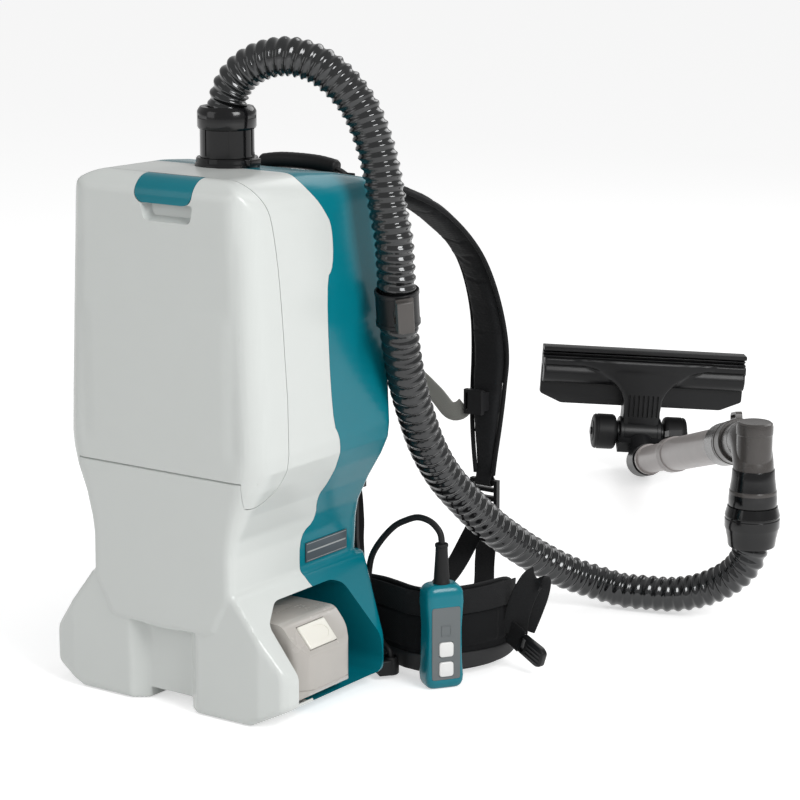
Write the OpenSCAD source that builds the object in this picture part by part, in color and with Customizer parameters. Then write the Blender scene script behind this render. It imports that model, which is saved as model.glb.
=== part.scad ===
// Battery backpack vacuum cleaner: shell, harness, hose, wand, floor nozzle and handset.
// Millimetres. The origin is the middle of the base on the floor. -Y is the lid side,
// +Y is the wearer's side, +X is on the right when facing the lid, +Z is up.

/* [Shell] */
// Height of the shell
shell_h = 514; // [500:1:530]
// Width of the upper shell at its shoulder
shell_w = 242; // [236:1:248]
// Width of the upper shell at its top
top_w = 214; // [210:1:220]
// Width of the waist
waist_w = 172; // [168:1:178]
// Width across the battery bulges
base_w = 292; // [284:1:300]
// Middle plane to the front face
front_d = 112; // [108:1:118]
// Middle plane to the wearer's side
back_d = 105; // [100:1:110]
// Moulded wall
wall = 3; // [2.5:0.1:3.5]
// Radius of the upright front corners
corner_r = 28; // [22:1:32]
// Radius of the corners at the top
top_r = 38; // [32:1:42]
// Gap at the lid's seam
seam = 0.8; // [0.6:0.1:1.2]
// Height of the lid's bottom seam
seam_z = 234; // [230:1:240]

/* [Lid latch] */
// Width of the latch at its top
latch_w = 80; // [70:1:90]
// Latch's offset from the middle
latch_x = 6; // [0:1:10]
// Height of the latch plate
latch_h = 28; // [24:1:32]
// Radius of the latch and hinge pins
pin_r = 3; // [2.5:0.1:3.5]
// Radial clearance round a pin
pin_gap = 0.06; // [0.03:0.01:0.1]

/* [Batteries] */
// Battery along its slide
battery_l = 104; // [98:1:106]
// Battery across
battery_w = 84; // [78:1:86]
// Battery height
battery_h = 72; // [66:1:74]
// Height of the bay floor
bay_z = 14; // [12:1:18]

/* [Inlet] */
// Bore of the inlet socket
inlet_r = 23.1; // [22:0.1:24]
// Outer radius of the inlet cuff
cuff_r = 26; // [25.5:0.5:28]
// Height of the cuff above its socket
cuff_h = 48; // [46:1:50]

/* [Wand] */
// Elbow to the nozzle's neck along the pipe
wand_l = 665; // [640:1:690]
// Slope of the pipe below level
wand_pitch = 15.8; // [15:0.1:16.5]
// Heading of the pipe from +X
wand_yaw = 130; // [128:1:132]
// Outer radius of the fixed pipe
outer_pipe_r = 20; // [19:0.5:21]
// Outer radius of the sliding pipe
inner_pipe_r = 17.5; // [17:0.5:18]
// Outer radius of the bent pipe
bent_r = 21.5; // [21:0.5:22]
// Wall of every pipe
pipe_wall = 1.5; // [1.2:0.1:1.8]
// Radius of the nozzle neck
neck_r = 20.5; // [20:0.5:22]

/* [Floor nozzle] */
// Width of the nozzle
nozzle_w = 267; // [240:1:280]
// Height of the nozzle plate
plate_h = 76; // [72:1:84]
// Radius of the rollers
roller_r = 23; // [21:0.5:24]
// Width of a roller
roller_w = 32; // [28:1:34]

/* [Handset] */
// Width of the handset
handset_w = 40; // [36:1:42]
// Thickness of the handset
handset_t = 28; // [24:1:30]
// Height of the handset
handset_h = 104; // [100:1:110]
// Side of a button
key_s = 15; // [13:0.5:16]
// Cable diameter
cable_d = 6.4; // [6:0.1:7]

/* [Harness] */
// Width of a shoulder pad
strap_w = 60; // [54:1:64]
// Thickness of a shoulder pad
strap_t = 15; // [12:1:17]
// Height of the hip belt
belt_h = 92; // [84:1:96]
// Thickness of the hip belt
belt_t = 18; // [14:1:20]
// Width of the webbing
web_w = 25; // [20:1:28]
// Thickness of the webbing
web_t = 2; // [1.5:0.1:2.5]

/* [Hose] */
// Outer diameter over the ribs
hose_d = 38; // [36:0.5:40]
// Pitch of the ribs
rib_pitch = 10; // [9:0.5:12]
// Depth of a rib
rib_h = 2.4; // [1.5:0.1:3]

/* [Hidden] */
$fn = 48;

teal = "#0a8391";
white = "#dfe3e0";
black = "#1c1c1e";
fabric_black = "#17181a";

// Running clearance between flat faces of different bodies
slack = 0.3;
// Levels of the front outline, from the base up
chamfer_z = 21;
bulge_z = 49;
waist_lo = 122;
waist_hi = 176;
shoulder_z = 242;
// Floor width between the chamfers
foot_w = base_w - 86;
// The white and teal halves meet along this line on the sides, as [y, z]
joint_line = [[-47, -1], [-47, 60], [3, 103], [-4, 120], [-4, 160], [21, 172], [10, 196],
    [20, 212], [19, 254], [5, 276], [6, 410], [19, 420], [20, 460], [8, 476], [-12, 500],
    [-12, shell_h + 1]];

// ---------------------------------------------------------------- helpers

function arc(c, r, a0, a1, n = 8) =
    [for (i = [0 : n]) let (a = a0 + (a1 - a0) * i / n) [c[0] + r * cos(a), c[1] + r * sin(a)]];
function reversed(list) = [for (i = [len(list) - 1 : -1 : 0]) list[i]];
function both_sides(half) = concat(half, [for (p = reversed(half)) [-p[0], p[1]]]);
function unit(v) = v / norm(v);
function spline_point(p, i, t) =
    let (a = p[max(i - 1, 0)], b = p[i], c = p[i + 1], d = p[min(i + 2, len(p) - 1)])
    0.5 * (2 * b + (c - a) * t + (2 * a - 5 * b + 4 * c - d) * t * t
        + (3 * b - a - 3 * c + d) * t * t * t);
function spline(p, n) = concat(
    [for (i = [0 : len(p) - 2]) for (k = [0 : n - 1]) spline_point(p, i, k / n)],
    [p[len(p) - 1]]);
function lengths(p, i = 0, sum = 0, out = []) =
    i >= len(p) ? out
    : let (s = i == 0 ? 0 : sum + norm(p[i] - p[i - 1])) lengths(p, i + 1, s, concat(out, [s]));
function even_points(p, count) =
    let (s = lengths(p), n = len(p), total = s[n - 1],
        xs = [for (i = [0 : n - 1]) [s[i], p[i][0]]],
        ys = [for (i = [0 : n - 1]) [s[i], p[i][1]]],
        zs = [for (i = [0 : n - 1]) [s[i], p[i][2]]])
    [for (k = [0 : count]) let (q = total * k / count) [lookup(q, xs), lookup(q, ys), lookup(q, zs)]];
function tangent(p, i) = unit(p[min(i + 1, len(p) - 1)] - p[max(i - 1, 0)]);
// Side vectors carried along a path without twist
function side_vectors(p, first, i = 0, out = []) =
    i >= len(p) ? out
    : let (t = tangent(p, i), v = i == 0 ? first : out[i - 1])
        side_vectors(p, first, i + 1, concat(out, [unit(v - (v * t) * t)]));

// Closed solid through rings of equal length, with fan caps
module skin(rings) {
    n = len(rings[0]);
    m = len(rings);
    walls = [for (j = [0 : m - 2]) for (i = [0 : n - 1]) for (half = [0, 1])
        half == 0 ? [j * n + i, (j + 1) * n + i, j * n + (i + 1) % n]
                  : [j * n + (i + 1) % n, (j + 1) * n + i, (j + 1) * n + (i + 1) % n]];
    caps = [for (i = [1 : n - 2]) for (end = [0, 1])
        end == 0 ? [0, i, i + 1] : [(m - 1) * n, (m - 1) * n + i + 1, (m - 1) * n + i]];
    polyhedron([for (r = rings) each r], concat(walls, caps));
}

// Plain round tube swept along a path
module sweep_round(path, r, sides, first) {
    v = side_vectors(path, first);
    skin([for (i = [0 : len(path) - 1]) let (t = tangent(path, i), w = cross(t, v[i]))
        [for (k = [0 : sides - 1]) let (a = 360 * k / sides)
            path[i] + r * (cos(a) * v[i] + sin(a) * w)]]);
}

// Soft band swept along a path: wide along "across", crowned, with drawn-in edges
module sweep_pad(path, across, widths, thicks, sides = 12) {
    skin([for (i = [0 : len(path) - 1])
        let (t = tangent(path, i), a0 = across[i], a1 = unit(a0 - (a0 * t) * t), n1 = cross(t, a1))
        [for (k = [0 : sides - 1]) let (a = -360 * k / sides, c = cos(a), s = sin(a))
            path[i] + a1 * (widths[i] / 2) * sign(c) * pow(abs(c), 0.6)
                + n1 * (thicks[i] / 2) * sign(s) * pow(abs(s), 0.8)]]);
}

module tube(r, bore, h) difference() {
    cylinder(r = r, h = h);
    translate([0, 0, -1]) cylinder(r = bore, h = h + 2);
}

// Turns +Z to point along +X, and lays an outline given as [y, z] along X
module along_x() rotate([0, 90, 0]) children();
module side_slab(outline, x0, x1)
    translate([x0, 0, 0]) rotate([90, 0, 90]) linear_extrude(x1 - x0) polygon(outline);
module front_slab(outline, y0, y1)
    translate([0, y1, 0]) rotate([90, 0, 0]) linear_extrude(y1 - y0) polygon(outline);
module mirror_pair() {
    children();
    mirror([1, 0, 0]) children();
}

// ---------------------------------------------------------------- shell

lean_a = atan((shell_w - top_w) / 2 / (shell_h - shoulder_z));
function tank_half(z) = shell_w / 2 - (z - shoulder_z) * tan(lean_a);
shoulder_run = (shell_w - waist_w) / 2 / (shoulder_z - waist_hi);
function upper_outline(i) = both_sides(concat(
    [[62 - i, 62 + i], [68 - i, 84], [waist_w / 2 - i, waist_lo], [waist_w / 2 + 9, waist_hi],
        [shell_w / 2 + 12, shoulder_z + 3], [shell_w / 2 + 12, shell_h - top_r]],
    arc([top_w / 2 + 1.7 - top_r, shell_h - 2 - top_r], top_r - i, 5, 80),
    [[40, shell_h - 1 - i]]));
function base_outline(i) = both_sides([[foot_w / 2 - i, i], [base_w / 2 - i, chamfer_z],
    [base_w / 2 - i, bulge_z], [waist_w / 2 + 2 - i, waist_lo - i]]);
// The top slopes down towards the wearer's side
function side_outline(i) = concat(
    [[-front_d + i, i]],
    arc([-front_d + 24, shell_h - 25], 24 - i, 180, 90),
    [[0, shell_h - 3.5 - i], [50, shell_h - 9 - i]],
    arc([back_d - 24, shell_h - 40], 24 - i, 72, 0),
    [[back_d - i, i]]);
function rounded_plan(half, inner, front_r, back_r, i) = concat([[inner, -front_d + i]],
    arc([half - front_r, -front_d + front_r], front_r - i, -90, 0),
    arc([half - back_r, back_d - back_r], back_r - i, 0, 90), [[inner, back_d - i]]);
// Half width where the base meets the wearer's side
rear_corner = 80;
function base_plan(i) = both_sides([[foot_w / 2 + 12 - i, -front_d + 1 + i],
    [base_w / 2 - 8 - i, -front_d + 8 + i], [base_w / 2 - 2 - i, -front_d + 15 + i],
    [base_w / 2 - i, -front_d + 24], [base_w / 2 - i, 0],
    [base_w / 2 - 6 - i, 59], [rear_corner - i, back_d - i]]);

// Leaning halves give the upper shell its draft and the shoulder its slope
module level_block(z0, z1) translate([-base_w / 2, -base_w / 2, z0]) cube([base_w, base_w, z1 - z0]);
module tank_prism(i) intersection() {
    mirror_pair() translate([0, 0, shoulder_z]) rotate([0, -lean_a, 0]) translate([0, 0, -15])
        linear_extrude(shell_h - shoulder_z + 35) polygon(rounded_plan(shell_w / 2, -40, corner_r, 12, i));
    level_block(shoulder_z - 0.5, shell_h);
}
shoulder_a = atan(shoulder_run);
// Keeps the shoulder's faces just behind those above and below it
face_step = 0.05;
module shoulder_prism(i) intersection() {
    mirror_pair() translate([waist_w / 2, 0, waist_hi]) rotate([0, shoulder_a, 0]) translate([0, 0, -30])
        linear_extrude(140) polygon(rounded_plan(-face_step, -120, 18, 20, i + face_step));
    level_block(waist_hi - 5, shoulder_z);
}
module waist_prism(i) mirror_pair() linear_extrude(waist_hi) polygon(rounded_plan(waist_w / 2, -40, 10, 31, i));
module upper_solid(i) intersection() {
    front_slab(upper_outline(i), -front_d - 1, back_d + 1);
    side_slab(side_outline(i), -base_w, base_w);
    union() {
        tank_prism(i);
        shoulder_prism(i);
        waist_prism(i);
    }
}
module base_solid(i) intersection() {
    front_slab(base_outline(i), -front_d - 1, back_d + 1);
    side_slab(side_outline(i), -base_w, base_w);
    linear_extrude(shell_h) polygon(base_plan(i));
}
// Notch between the two bulges, below the front panel
module front_notch(g) {
    translate([0, 0, -1]) linear_extrude(85 + g) polygon(both_sides(
        [[40 + g, -front_d - 1], [40 + g, -front_d + 3], [26 + g, -front_d + 15 + g]]));
    translate([-26 - g, -front_d - 1, -1]) cube([52 + 2 * g, 45 + g, 10 + g]);
}
module body_solid(i) difference() {
    union() {
        upper_solid(i);
        base_solid(i);
    }
    front_notch(i);
}

function bay_outline(g) = [[-85 - g, bay_z - g], [50, bay_z - g], [57 + g, 30], [44 + g, 104],
    [30, 110 + g], [-60, 110 + g], [-85 - g, 94]];
// Inner end of the batteries, and the back wall of their bays
batt_x0 = base_w / 2 - 1 - battery_l;
bay_x = batt_x0 - 6;
floor_z = seam_z - 6;
shelf_z = 120;

// One moulded body with its bays and floors, before it is cut into halves
module whole_shell() difference() {
    body_solid(0);
    difference() {
        body_solid(wall);
        union() {
            translate([-200, -200, floor_z - wall]) cube([400, 400, wall]);
            translate([-200, -200, shelf_z - wall]) cube([400, 400, wall]);
            mirror_pair() side_slab(bay_outline(wall), bay_x - wall, base_w);
            mirror_pair() for (p = boss_points)
                translate([p[0], -20, p[1]]) rotate([-90, 0, 0]) cylinder(r = 5.5, h = back_d + 20);
        }
    }
    mirror_pair() side_slab(bay_outline(0), bay_x, base_w);
    // Air paths from filter to motor, and the inlet with its seat
    translate([0, 8, floor_z - wall - 1]) cylinder(r = 44, h = wall + 2);
    translate([0, 8, shelf_z - wall - 1]) cylinder(r = 30, h = wall + 2);
    translate([0, 0, shell_h - 30]) cylinder(r = inlet_r + 3, h = 40);
    translate([0, 0, seat_z]) cylinder(r = flange_r + slack, h = 20);
    mirror_pair() for (p = boss_points) {
        translate([p[0], -21, p[1]]) rotate([-90, 0, 0]) cylinder(r = screw_r + 0.1, h = back_d + 40);
        translate([p[0], back_d - 8, p[1]]) rotate([-90, 0, 0]) cylinder(r = 4.6, h = 14);
    }
}
screw_r = 2;
seat_z = shell_h - 7;
flange_r = 31;
boss_points = [for (z = [300, 440]) [tank_half(z) - wall - 4.5, z]];

module rear_region() side_slab(concat(joint_line, [[200, shell_h + 1], [200, -1]]), -base_w, base_w);

// Everything in front of the lid's seam; g moves the seam back
function seam_line(g) = concat(
    [[-91 + g, shell_h + 2], [-79 + g, 495], [-70 + g, 467], [-64 + g, 411], [-62 + g, 307]],
    arc([-100, 245], 36 + g, 0, -100, 10));
module lid_region(g) {
    side_slab(concat(seam_line(g), [[-200, 209 - g], [-200, shell_h + 2]]), -base_w, -ear_x + g / 2);
    side_slab(concat(seam_line(g), [[-200, 209 - g], [-200, shell_h + 2]]), ear_x - g / 2, base_w);
    side_slab([for (p = concat([for (k = [0 : 4]) seam_line(g)[k]],
        [[-64 + g, seam_z - g], [-200, seam_z - g], [-200, shell_h + 2]])) p], -ear_x - 1.5, ear_x + 1.5);
}

module rear_housing() color(teal) difference() {
    intersection() {
        whole_shell();
        rear_region();
    }
}

hinge_y = -front_d + 6;
hinge_z = seam_z - 8;
// The lid turns outside the bosses, on the pins' outer ends
ear_x = shell_w / 2 - 22.5;
pin_start = ear_x - 12.5;
pin_end = ear_x + 7.5;
// Radius that the lid's bottom edge clears as it turns
edge_r = seam_z + seam / 2 - hinge_z - slack;
// Round edge of the wall under the lid's seam
module turned_edge() difference() {
    translate([-ear_x, -front_d - 1, hinge_z]) cube([2 * ear_x, front_d + 1 + hinge_y, edge_r + 2]);
    translate([-ear_x - 1, hinge_y, hinge_z]) along_x() cylinder(r = edge_r, h = 2 * ear_x + 2);
}
module front_housing() color(white) difference() {
    union() {
        difference() {
            whole_shell();
            rear_region();
            lid_region(seam / 2);
        }
        // Bosses that hold the hinge pins
        mirror_pair() intersection() {
            translate([pin_start - 2, hinge_y, hinge_z]) along_x() cylinder(r = 6.5, h = ear_x - 0.8 - pin_start + 2);
            body_solid(0);
        }
        // Rim behind the lid that carries the gasket
        intersection() {
            body_solid(wall / 2);
            translate([0, 0, floor_z + 8]) difference() {
                front_slab([[-200, 0], [200, 0], [200, 400], [-200, 400]], rim_y, rim_y + 3);
                front_slab(both_sides([[top_w / 2 - 14, 6], [top_w / 2 - 14, shell_h - floor_z - 40],
                    [60, shell_h - floor_z - 28]]), rim_y - 1, rim_y + 4);
            }
        }
    }
    mirror_pair() translate([pin_start, hinge_y, hinge_z]) along_x() cylinder(r = pin_r, h = 20);
    mirror_pair() grille_window(0);
    turned_edge();
}
rim_y = -58;

module lid() color(white) difference() {
    union() {
        difference() {
            intersection() {
                body_solid(0);
                lid_region(-seam / 2);
            }
            body_solid(wall);
        }
        // Bottom shelf and hinge blocks
        intersection() {
            body_solid(0);
            lid_region(-seam / 2);
            union() {
                translate([-shell_w / 2 + 11, -front_d, seam_z]) cube([shell_w - 22, 42, wall + seam / 2]);
                mirror_pair() translate([ear_x - 0.5, -front_d, 200]) cube([20, 60, seam_z - 200 + wall]);
            }
        }
        // Pocket behind the latch
        intersection() {
            body_solid(0);
            translate([latch_x, -front_d, 0]) front_slab(
                [[-latch_w / 2 - 4, shell_h - 2], [-27, latch_z - 18], [27, latch_z - 18],
                    [latch_w / 2 + 4, shell_h - 2]], 0, 14);
        }
        // Tongue that presses the gasket
        intersection() {
            translate([0, 0, seam_z]) front_slab(
                [[-200, 0], [200, 0], [200, 300], [-200, 300]], -front_d + 1, rim_y - 3.3);
            difference() {
                body_solid(wall + 2.5);
                body_solid(wall + 5);
            }
            lid_tongue_zone();
        }
    }
    // Bores for the hinge pins
    mirror_pair() translate([pin_start - 6, hinge_y, hinge_z]) along_x() cylinder(r = pin_r + pin_gap, h = pin_end - pin_start + 6.5);
    // Opening for the latch, and the finger recess below it
    latch_block(0.5, latch_t + 8);
    translate([latch_x, 0, 0]) front_slab(
        [[-30, latch_z + 1], [-25, latch_z - 14], [25, latch_z - 14], [30, latch_z + 1]],
        -front_d - 1, -front_d + 11);
    // Room for the latch pin
    translate([latch_x - latch_pin_l / 2, latch_py, latch_pz]) along_x() cylinder(r = pin_r - 1, h = latch_pin_l);
}
module lid_tongue_zone()
    side_slab([[-front_d, seam_z + 10], [rim_y, seam_z + 10], [rim_y, shell_h - 40], [-80, shell_h - 14],
        [-front_d, shell_h - 14]], -200, 200);

// Closed loop round the lid's opening
function gasket_outline(i) = both_sides(concat(
    [[40, seam_z + 6 + i], [tank_half(seam_z) - 6 - i, seam_z + 6 + i], [tank_half(shell_h - 60) - 5 - i, shell_h - 60]],
    arc([top_w / 2 - top_r, shell_h - 6 - top_r], top_r - 3 - i, 5, 80), [[40, shell_h - 9 - i]]));
module lid_gasket() color(black) difference() {
    front_slab(gasket_outline(0), rim_y - 3, rim_y - 0.1);
    front_slab(gasket_outline(6), rim_y - 4, rim_y + 1);
}

module hinge_pins() color("#b9bcbf") mirror_pair()
    translate([pin_start, hinge_y, hinge_z]) along_x() cylinder(r = pin_r, h = pin_end - pin_start);

// ---------------------------------------------------------------- latch

latch_t = 3.5;
latch_z = shell_h - latch_h;
latch_py = -front_d + 15;
latch_pz = shell_h - 9;
latch_pin_l = latch_w - 10;
function latch_outline(g) = [[-latch_w / 2 - g, shell_h + 1], [-latch_w / 2 - g, latch_z + 14],
    [-30 - g, latch_z - g], [30 + g, latch_z - g], [latch_w / 2 + g, latch_z + 14],
    [latch_w / 2 + g, shell_h + 1]];
module latch_block(g, depth) intersection() {
    difference() {
        translate([0, 0, 0]) body_solid(-1);
        body_solid(depth);
    }
    translate([latch_x, 0, 0]) front_slab(latch_outline(g), -front_d - 5, -front_d + 18 + 6 * g);
}
module latch() color(teal) difference() {
    union() {
        intersection() {
            latch_block(0, latch_t);
            body_solid(0);
        }
        for (s = [-1, 1]) translate([latch_x + s * 22 - 3, latch_py, latch_pz]) along_x() cylinder(r = 5, h = 6);
    }
    translate([latch_x - latch_w, latch_py, latch_pz]) along_x() cylinder(r = pin_r - 1 + pin_gap, h = 2 * latch_w);
}
module latch_pin() color("#b9bcbf")
    translate([latch_x - latch_pin_l / 2, latch_py, latch_pz]) along_x() cylinder(r = pin_r - 1, h = latch_pin_l);

// ---------------------------------------------------------------- inlet, bag and filters

socket_top = seat_z + 12;
cuff_top = socket_top + cuff_h;
cuff_seat = socket_top + 8 - slack;
air_r = 15;
hose_gap = 0.5;
module inlet_socket() color(black) difference() {
    union() {
        translate([0, 0, shell_h - 20]) cylinder(r = inlet_r + 2.7, h = 20);
        translate([0, 0, seat_z]) cylinder(r = flange_r, h = socket_top - seat_z);
        // Release lug at the side
        translate([18, -9, seat_z + 5]) cube([16, 18, socket_top - seat_z - 5]);
    }
    translate([0, 0, shell_h - 30]) cylinder(r = inlet_r, h = 60);
}
module inlet_cuff() color(black) difference() {
    union() {
        translate([0, 0, shell_h - 16]) cylinder(r = inlet_r - 0.06, h = socket_top - shell_h + 18);
        translate([0, 0, socket_top + slack]) cylinder(r = cuff_r, h = cuff_h - 6);
        translate([0, 0, cuff_top - 21]) rotate_extrude() polygon([[0, 0], [cuff_r, 0],
            [cuff_r + 2.3, 2], [cuff_r + 2.3, 18], [cuff_r, 21], [0, 21]]);
    }
    translate([0, 0, cuff_seat]) cylinder(r = hose_d / 2 + hose_gap, h = 60);
    translate([0, 0, shell_h - 30]) cylinder(r = air_r, h = 80);
}

collar_z = shell_h - 24.3;
module bag_collar() color("#a5814f") difference() {
    translate([-50, -46, collar_z]) cube([100, 92, 4]);
    translate([0, 0, collar_z - 1]) cylinder(r = inlet_r - 2, h = 6);
}
bag_lo = floor_z + 62;
module dust_bag() color("#e9e6dc") intersection() {
    translate([0, 0, bag_lo]) linear_extrude(collar_z - slack - bag_lo) polygon(both_sides([
        [52, -86], [78, -70], [86, -30], [86, 40], [74, 72], [50, 80]]));
    front_slab(both_sides([[58, bag_lo], [80, bag_lo + 16], [86, bag_lo + 60], [86, collar_z - 70],
        [66, collar_z - 24], [48, collar_z]]), -front_d, back_d);
}
hepa_w = 176;
hepa_d = 132;
hepa_h = 34;
module hepa_filter() color("#d8d9d4") translate([0, 16, floor_z + slack]) difference() {
    translate([-hepa_w / 2, -hepa_d / 2, 0]) cube([hepa_w, hepa_d, hepa_h]);
    // Pleats between the frame's rails
    for (k = [-7 : 7]) translate([k * 10 - 2, -hepa_d / 2 + 8, hepa_h - 12]) cube([4, hepa_d - 16, 20]);
    translate([0, -8, -1]) cylinder(r = 40, h = 8);
}
module prefilter() color("#2b2c2e") translate([0, 16, floor_z + slack + hepa_h]) difference() {
    translate([-hepa_w / 2, -hepa_d / 2, 0]) cube([hepa_w, hepa_d, 18]);
    translate([-hepa_w / 2 + 3, -hepa_d / 2 + 3, 3]) cube([hepa_w - 6, hepa_d - 6, 18]);
    for (i = [-3 : 3]) for (j = [-2 : 2])
        translate([i * 22 - 8, j * 22 - 8, -1]) cube([16, 16, 6]);
}

// ---------------------------------------------------------------- motor and electronics

motor_r = 52;
motor_y = 8;
motor_lo = shelf_z + 8;
motor_hi = floor_z - wall - 8;
shaft_r = 4;
fan_r = 44;
module motor_housing() color("#3a3d40") translate([0, motor_y, 0]) difference() {
    translate([0, 0, motor_lo]) cylinder(r = motor_r, h = motor_hi - motor_lo);
    // Fan chamber, its eye, the outlet ports and the shaft's bearing bore
    translate([0, 0, motor_hi - 26]) cylinder(r = fan_r + 3, h = 23);
    translate([0, 0, motor_hi - 5]) cylinder(r = 22, h = 10);
    translate([0, 0, motor_lo - 1]) cylinder(r = shaft_r + 0.06, h = 200);
    for (k = [0 : 7]) rotate(k * 45) translate([30, 0, motor_lo - 1]) cylinder(r = 7, h = motor_hi - motor_lo - 20);
}
module motor_mounts() color(black) translate([0, motor_y, 0]) {
    translate([0, 0, motor_hi]) tube(motor_r - 2, motor_r - 8, 8);
    translate([0, 0, shelf_z]) tube(motor_r - 2, motor_r - 14, 8);
}
module fan_impeller() color("#c9ccce") translate([0, motor_y, 0]) {
    translate([0, 0, motor_lo + 12]) cylinder(r = shaft_r, h = motor_hi - motor_lo - 30);
    translate([0, 0, motor_hi - 23]) cylinder(r = fan_r, h = 2);
    translate([0, 0, motor_hi - 22]) cylinder(r = 12, h = 12);
    for (k = [0 : 8]) rotate(k * 40) translate([10, -1, motor_hi - 22])
        rotate(18) cube([fan_r - 14, 2, 11]);
}
// The board stands between the walls of the two bays
board_w = 2 * (bay_x - wall - 4);
module control_board() color("#1d5c3a") {
    translate([-board_w / 2, -50, 40]) cube([board_w, 110, 1.6]);
    // Capacitor, heat sink and relay
    translate([16 - board_w / 2, -30, 41]) cylinder(r = 9, h = 30);
    translate([8 - board_w / 2, 0, 41]) cube([board_w - 16, 24, 22]);
    translate([board_w / 2 - 22, 34, 41]) cube([18, 16, 14]);
    // Feet down to the base
    for (s = [-1, 1]) for (y = [-42, 52]) translate([s * (board_w / 2 - 6), y, wall]) cylinder(r = 3, h = 38);
}

// ---------------------------------------------------------------- batteries

batt_y0 = -78;
batt_z0 = bay_z + 8;
module battery_trays() color("#2a2b2d") mirror_pair() {
    translate([bay_x, batt_y0 - 1, bay_z]) cube([60, battery_w + 2, batt_z0 - bay_z - slack]);
    translate([bay_x, batt_y0 + 10, batt_z0 - 1]) cube([batt_x0 - bay_x - slack, battery_w - 20, battery_h - 10]);
}
module battery_block() intersection() {
    translate([0, batt_y0 + battery_w, 0]) rotate([90, 0, 0]) linear_extrude(battery_w) polygon([
        [batt_x0, batt_z0], [batt_x0 + battery_l - 8, batt_z0], [batt_x0 + battery_l, batt_z0 + 8],
        [batt_x0 + battery_l, batt_z0 + battery_h - 30], [batt_x0 + battery_l - 26, batt_z0 + battery_h],
        [batt_x0, batt_z0 + battery_h]]);
    linear_extrude(200) polygon([[batt_x0, batt_y0], [batt_x0 + battery_l - 12, batt_y0],
        [batt_x0 + battery_l, batt_y0 + 14], [batt_x0 + battery_l, batt_y0 + battery_w - 12],
        [batt_x0 + battery_l - 12, batt_y0 + battery_w], [batt_x0, batt_y0 + battery_w]]);
}
// The release button sits in a pocket of the sloping top edge
btn_w = 42;
btn_slope = atan2(30, 26);
module on_slope() translate([batt_x0 + battery_l - 13, batt_y0 + battery_w / 2 - 4, batt_z0 + battery_h - 15])
    rotate([0, btn_slope, 0]) children();
module battery() difference() {
    battery_block();
    on_slope() translate([-13, -btn_w / 2 - slack, -8]) cube([26, btn_w + 2 * slack, 20]);
}
module battery_button() on_slope() translate([-12.5, -btn_w / 2, -4]) cube([25, btn_w, 6]);
module battery_right() color("#a9a39d") battery();
module battery_left() color("#a9a39d") mirror([1, 0, 0]) battery();
module battery_button_right() color("#e9e7df") battery_button();
module battery_button_left() color("#e9e7df") mirror([1, 0, 0]) battery_button();

// ---------------------------------------------------------------- small parts of the shell

// Lattice vent lying in the chamfer under each bulge
chamfer_run = (base_w - foot_w) / 2;
chamfer_a = atan2(chamfer_z, chamfer_run);
grille_y = -92;
module on_chamfer() translate([foot_w / 2, grille_y, 0]) rotate([0, -chamfer_a, 0]) children();
module grille_window(g) on_chamfer() translate([8 - g, -g, -4]) cube([30 + 2 * g, 40 + 2 * g, 12]);
module exhaust_grilles() color("#c9cdcb") mirror_pair() on_chamfer() difference() {
    translate([8, 0, 0.2]) cube([30, 40, wall - 0.4]);
    for (i = [0 : 3]) for (j = [0 : 4])
        translate([10.5 + i * 7, 2.5 + j * 7.6, -5]) cube([4.5, 4.6, 12]);
}
module housing_screws() color("#8f9396") mirror_pair() for (p = boss_points)
    translate([p[0], back_d, p[1]]) rotate([90, 0, 0]) {
        translate([0, 0, 5]) cylinder(r = 4, h = 3);
        translate([0, 0, 6]) cylinder(r = screw_r, h = back_d + 8);
    }
// Bare plate on the waist
module rating_plate() color("#6d7276")
    translate([waist_w / 2, 4, 131]) cube([1.2, 66, 19]);

// ---------------------------------------------------------------- harness

plate_y = back_d;
plate_t = 4;
pad_y = plate_y + plate_t;
module harness_plate() color(black)
    front_slab(both_sides([[78, 24], [78, 100], [74, 130], [74, 180], [96, 226], [96, shell_h - 60],
        [84, shell_h - 22]]), plate_y, plate_y + plate_t);
// Back pad with four cross channels
module back_pad() color(fabric_black) {
    levels = [for (k = [0 : 24]) 150 + k * 12.5];
    skin([for (z = levels) let (u = (z - 150) / 300, e = sin(180 * u),
            hw = 70 + 24 * pow(sin(90 * min(1, u * 1.6)), 2) - 10 * pow(max(0, u - 0.8) * 5, 2),
            d = 16 * pow(max(0, e), 0.35) * (0.78 + 0.22 * abs(sin(720 * u))))
        [for (p = [[hw, 0.4], [hw, 0.5 + d * 0.45], [hw - 8, 0.6 + d * 0.8], [hw / 2, 0.7 + d], [0, 0.7 + d * 0.86],
            [-hw / 2, 0.7 + d], [-hw + 8, 0.6 + d * 0.8], [-hw, 0.5 + d * 0.45], [-hw, 0.4]])
            [p[0], pad_y + p[1], z]]]);
}
// Webbing handle with a padded grip behind the top edge
grip_y = pad_y + 4;
grip_z = shell_h - 13;
module carry_handle() color(black) {
    sweep_round(spline([[-46, grip_y, grip_z - 2], [-20, grip_y, grip_z + 1.5],
        [20, grip_y, grip_z + 1.5], [46, grip_y, grip_z - 2]], 4), 8, 12, [0, 0, 1]);
    mirror_pair() {
        side_strip([[42, grip_y - 2, grip_z - 2], [55, grip_y - 2, grip_z - 6], [64, grip_y - 3, grip_z - 12]]);
        translate([56, pad_y + 0.1, shell_h - 28]) cube([16, 3, 6]);
    }
}
module side_strip(p) skin([for (q = spline(p, 4))
    [q + [0, 0, -1.4], q + [0, 6, -1.4], q + [0, 6, 1.4], q + [0, 0, 1.4]]]);

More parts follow.
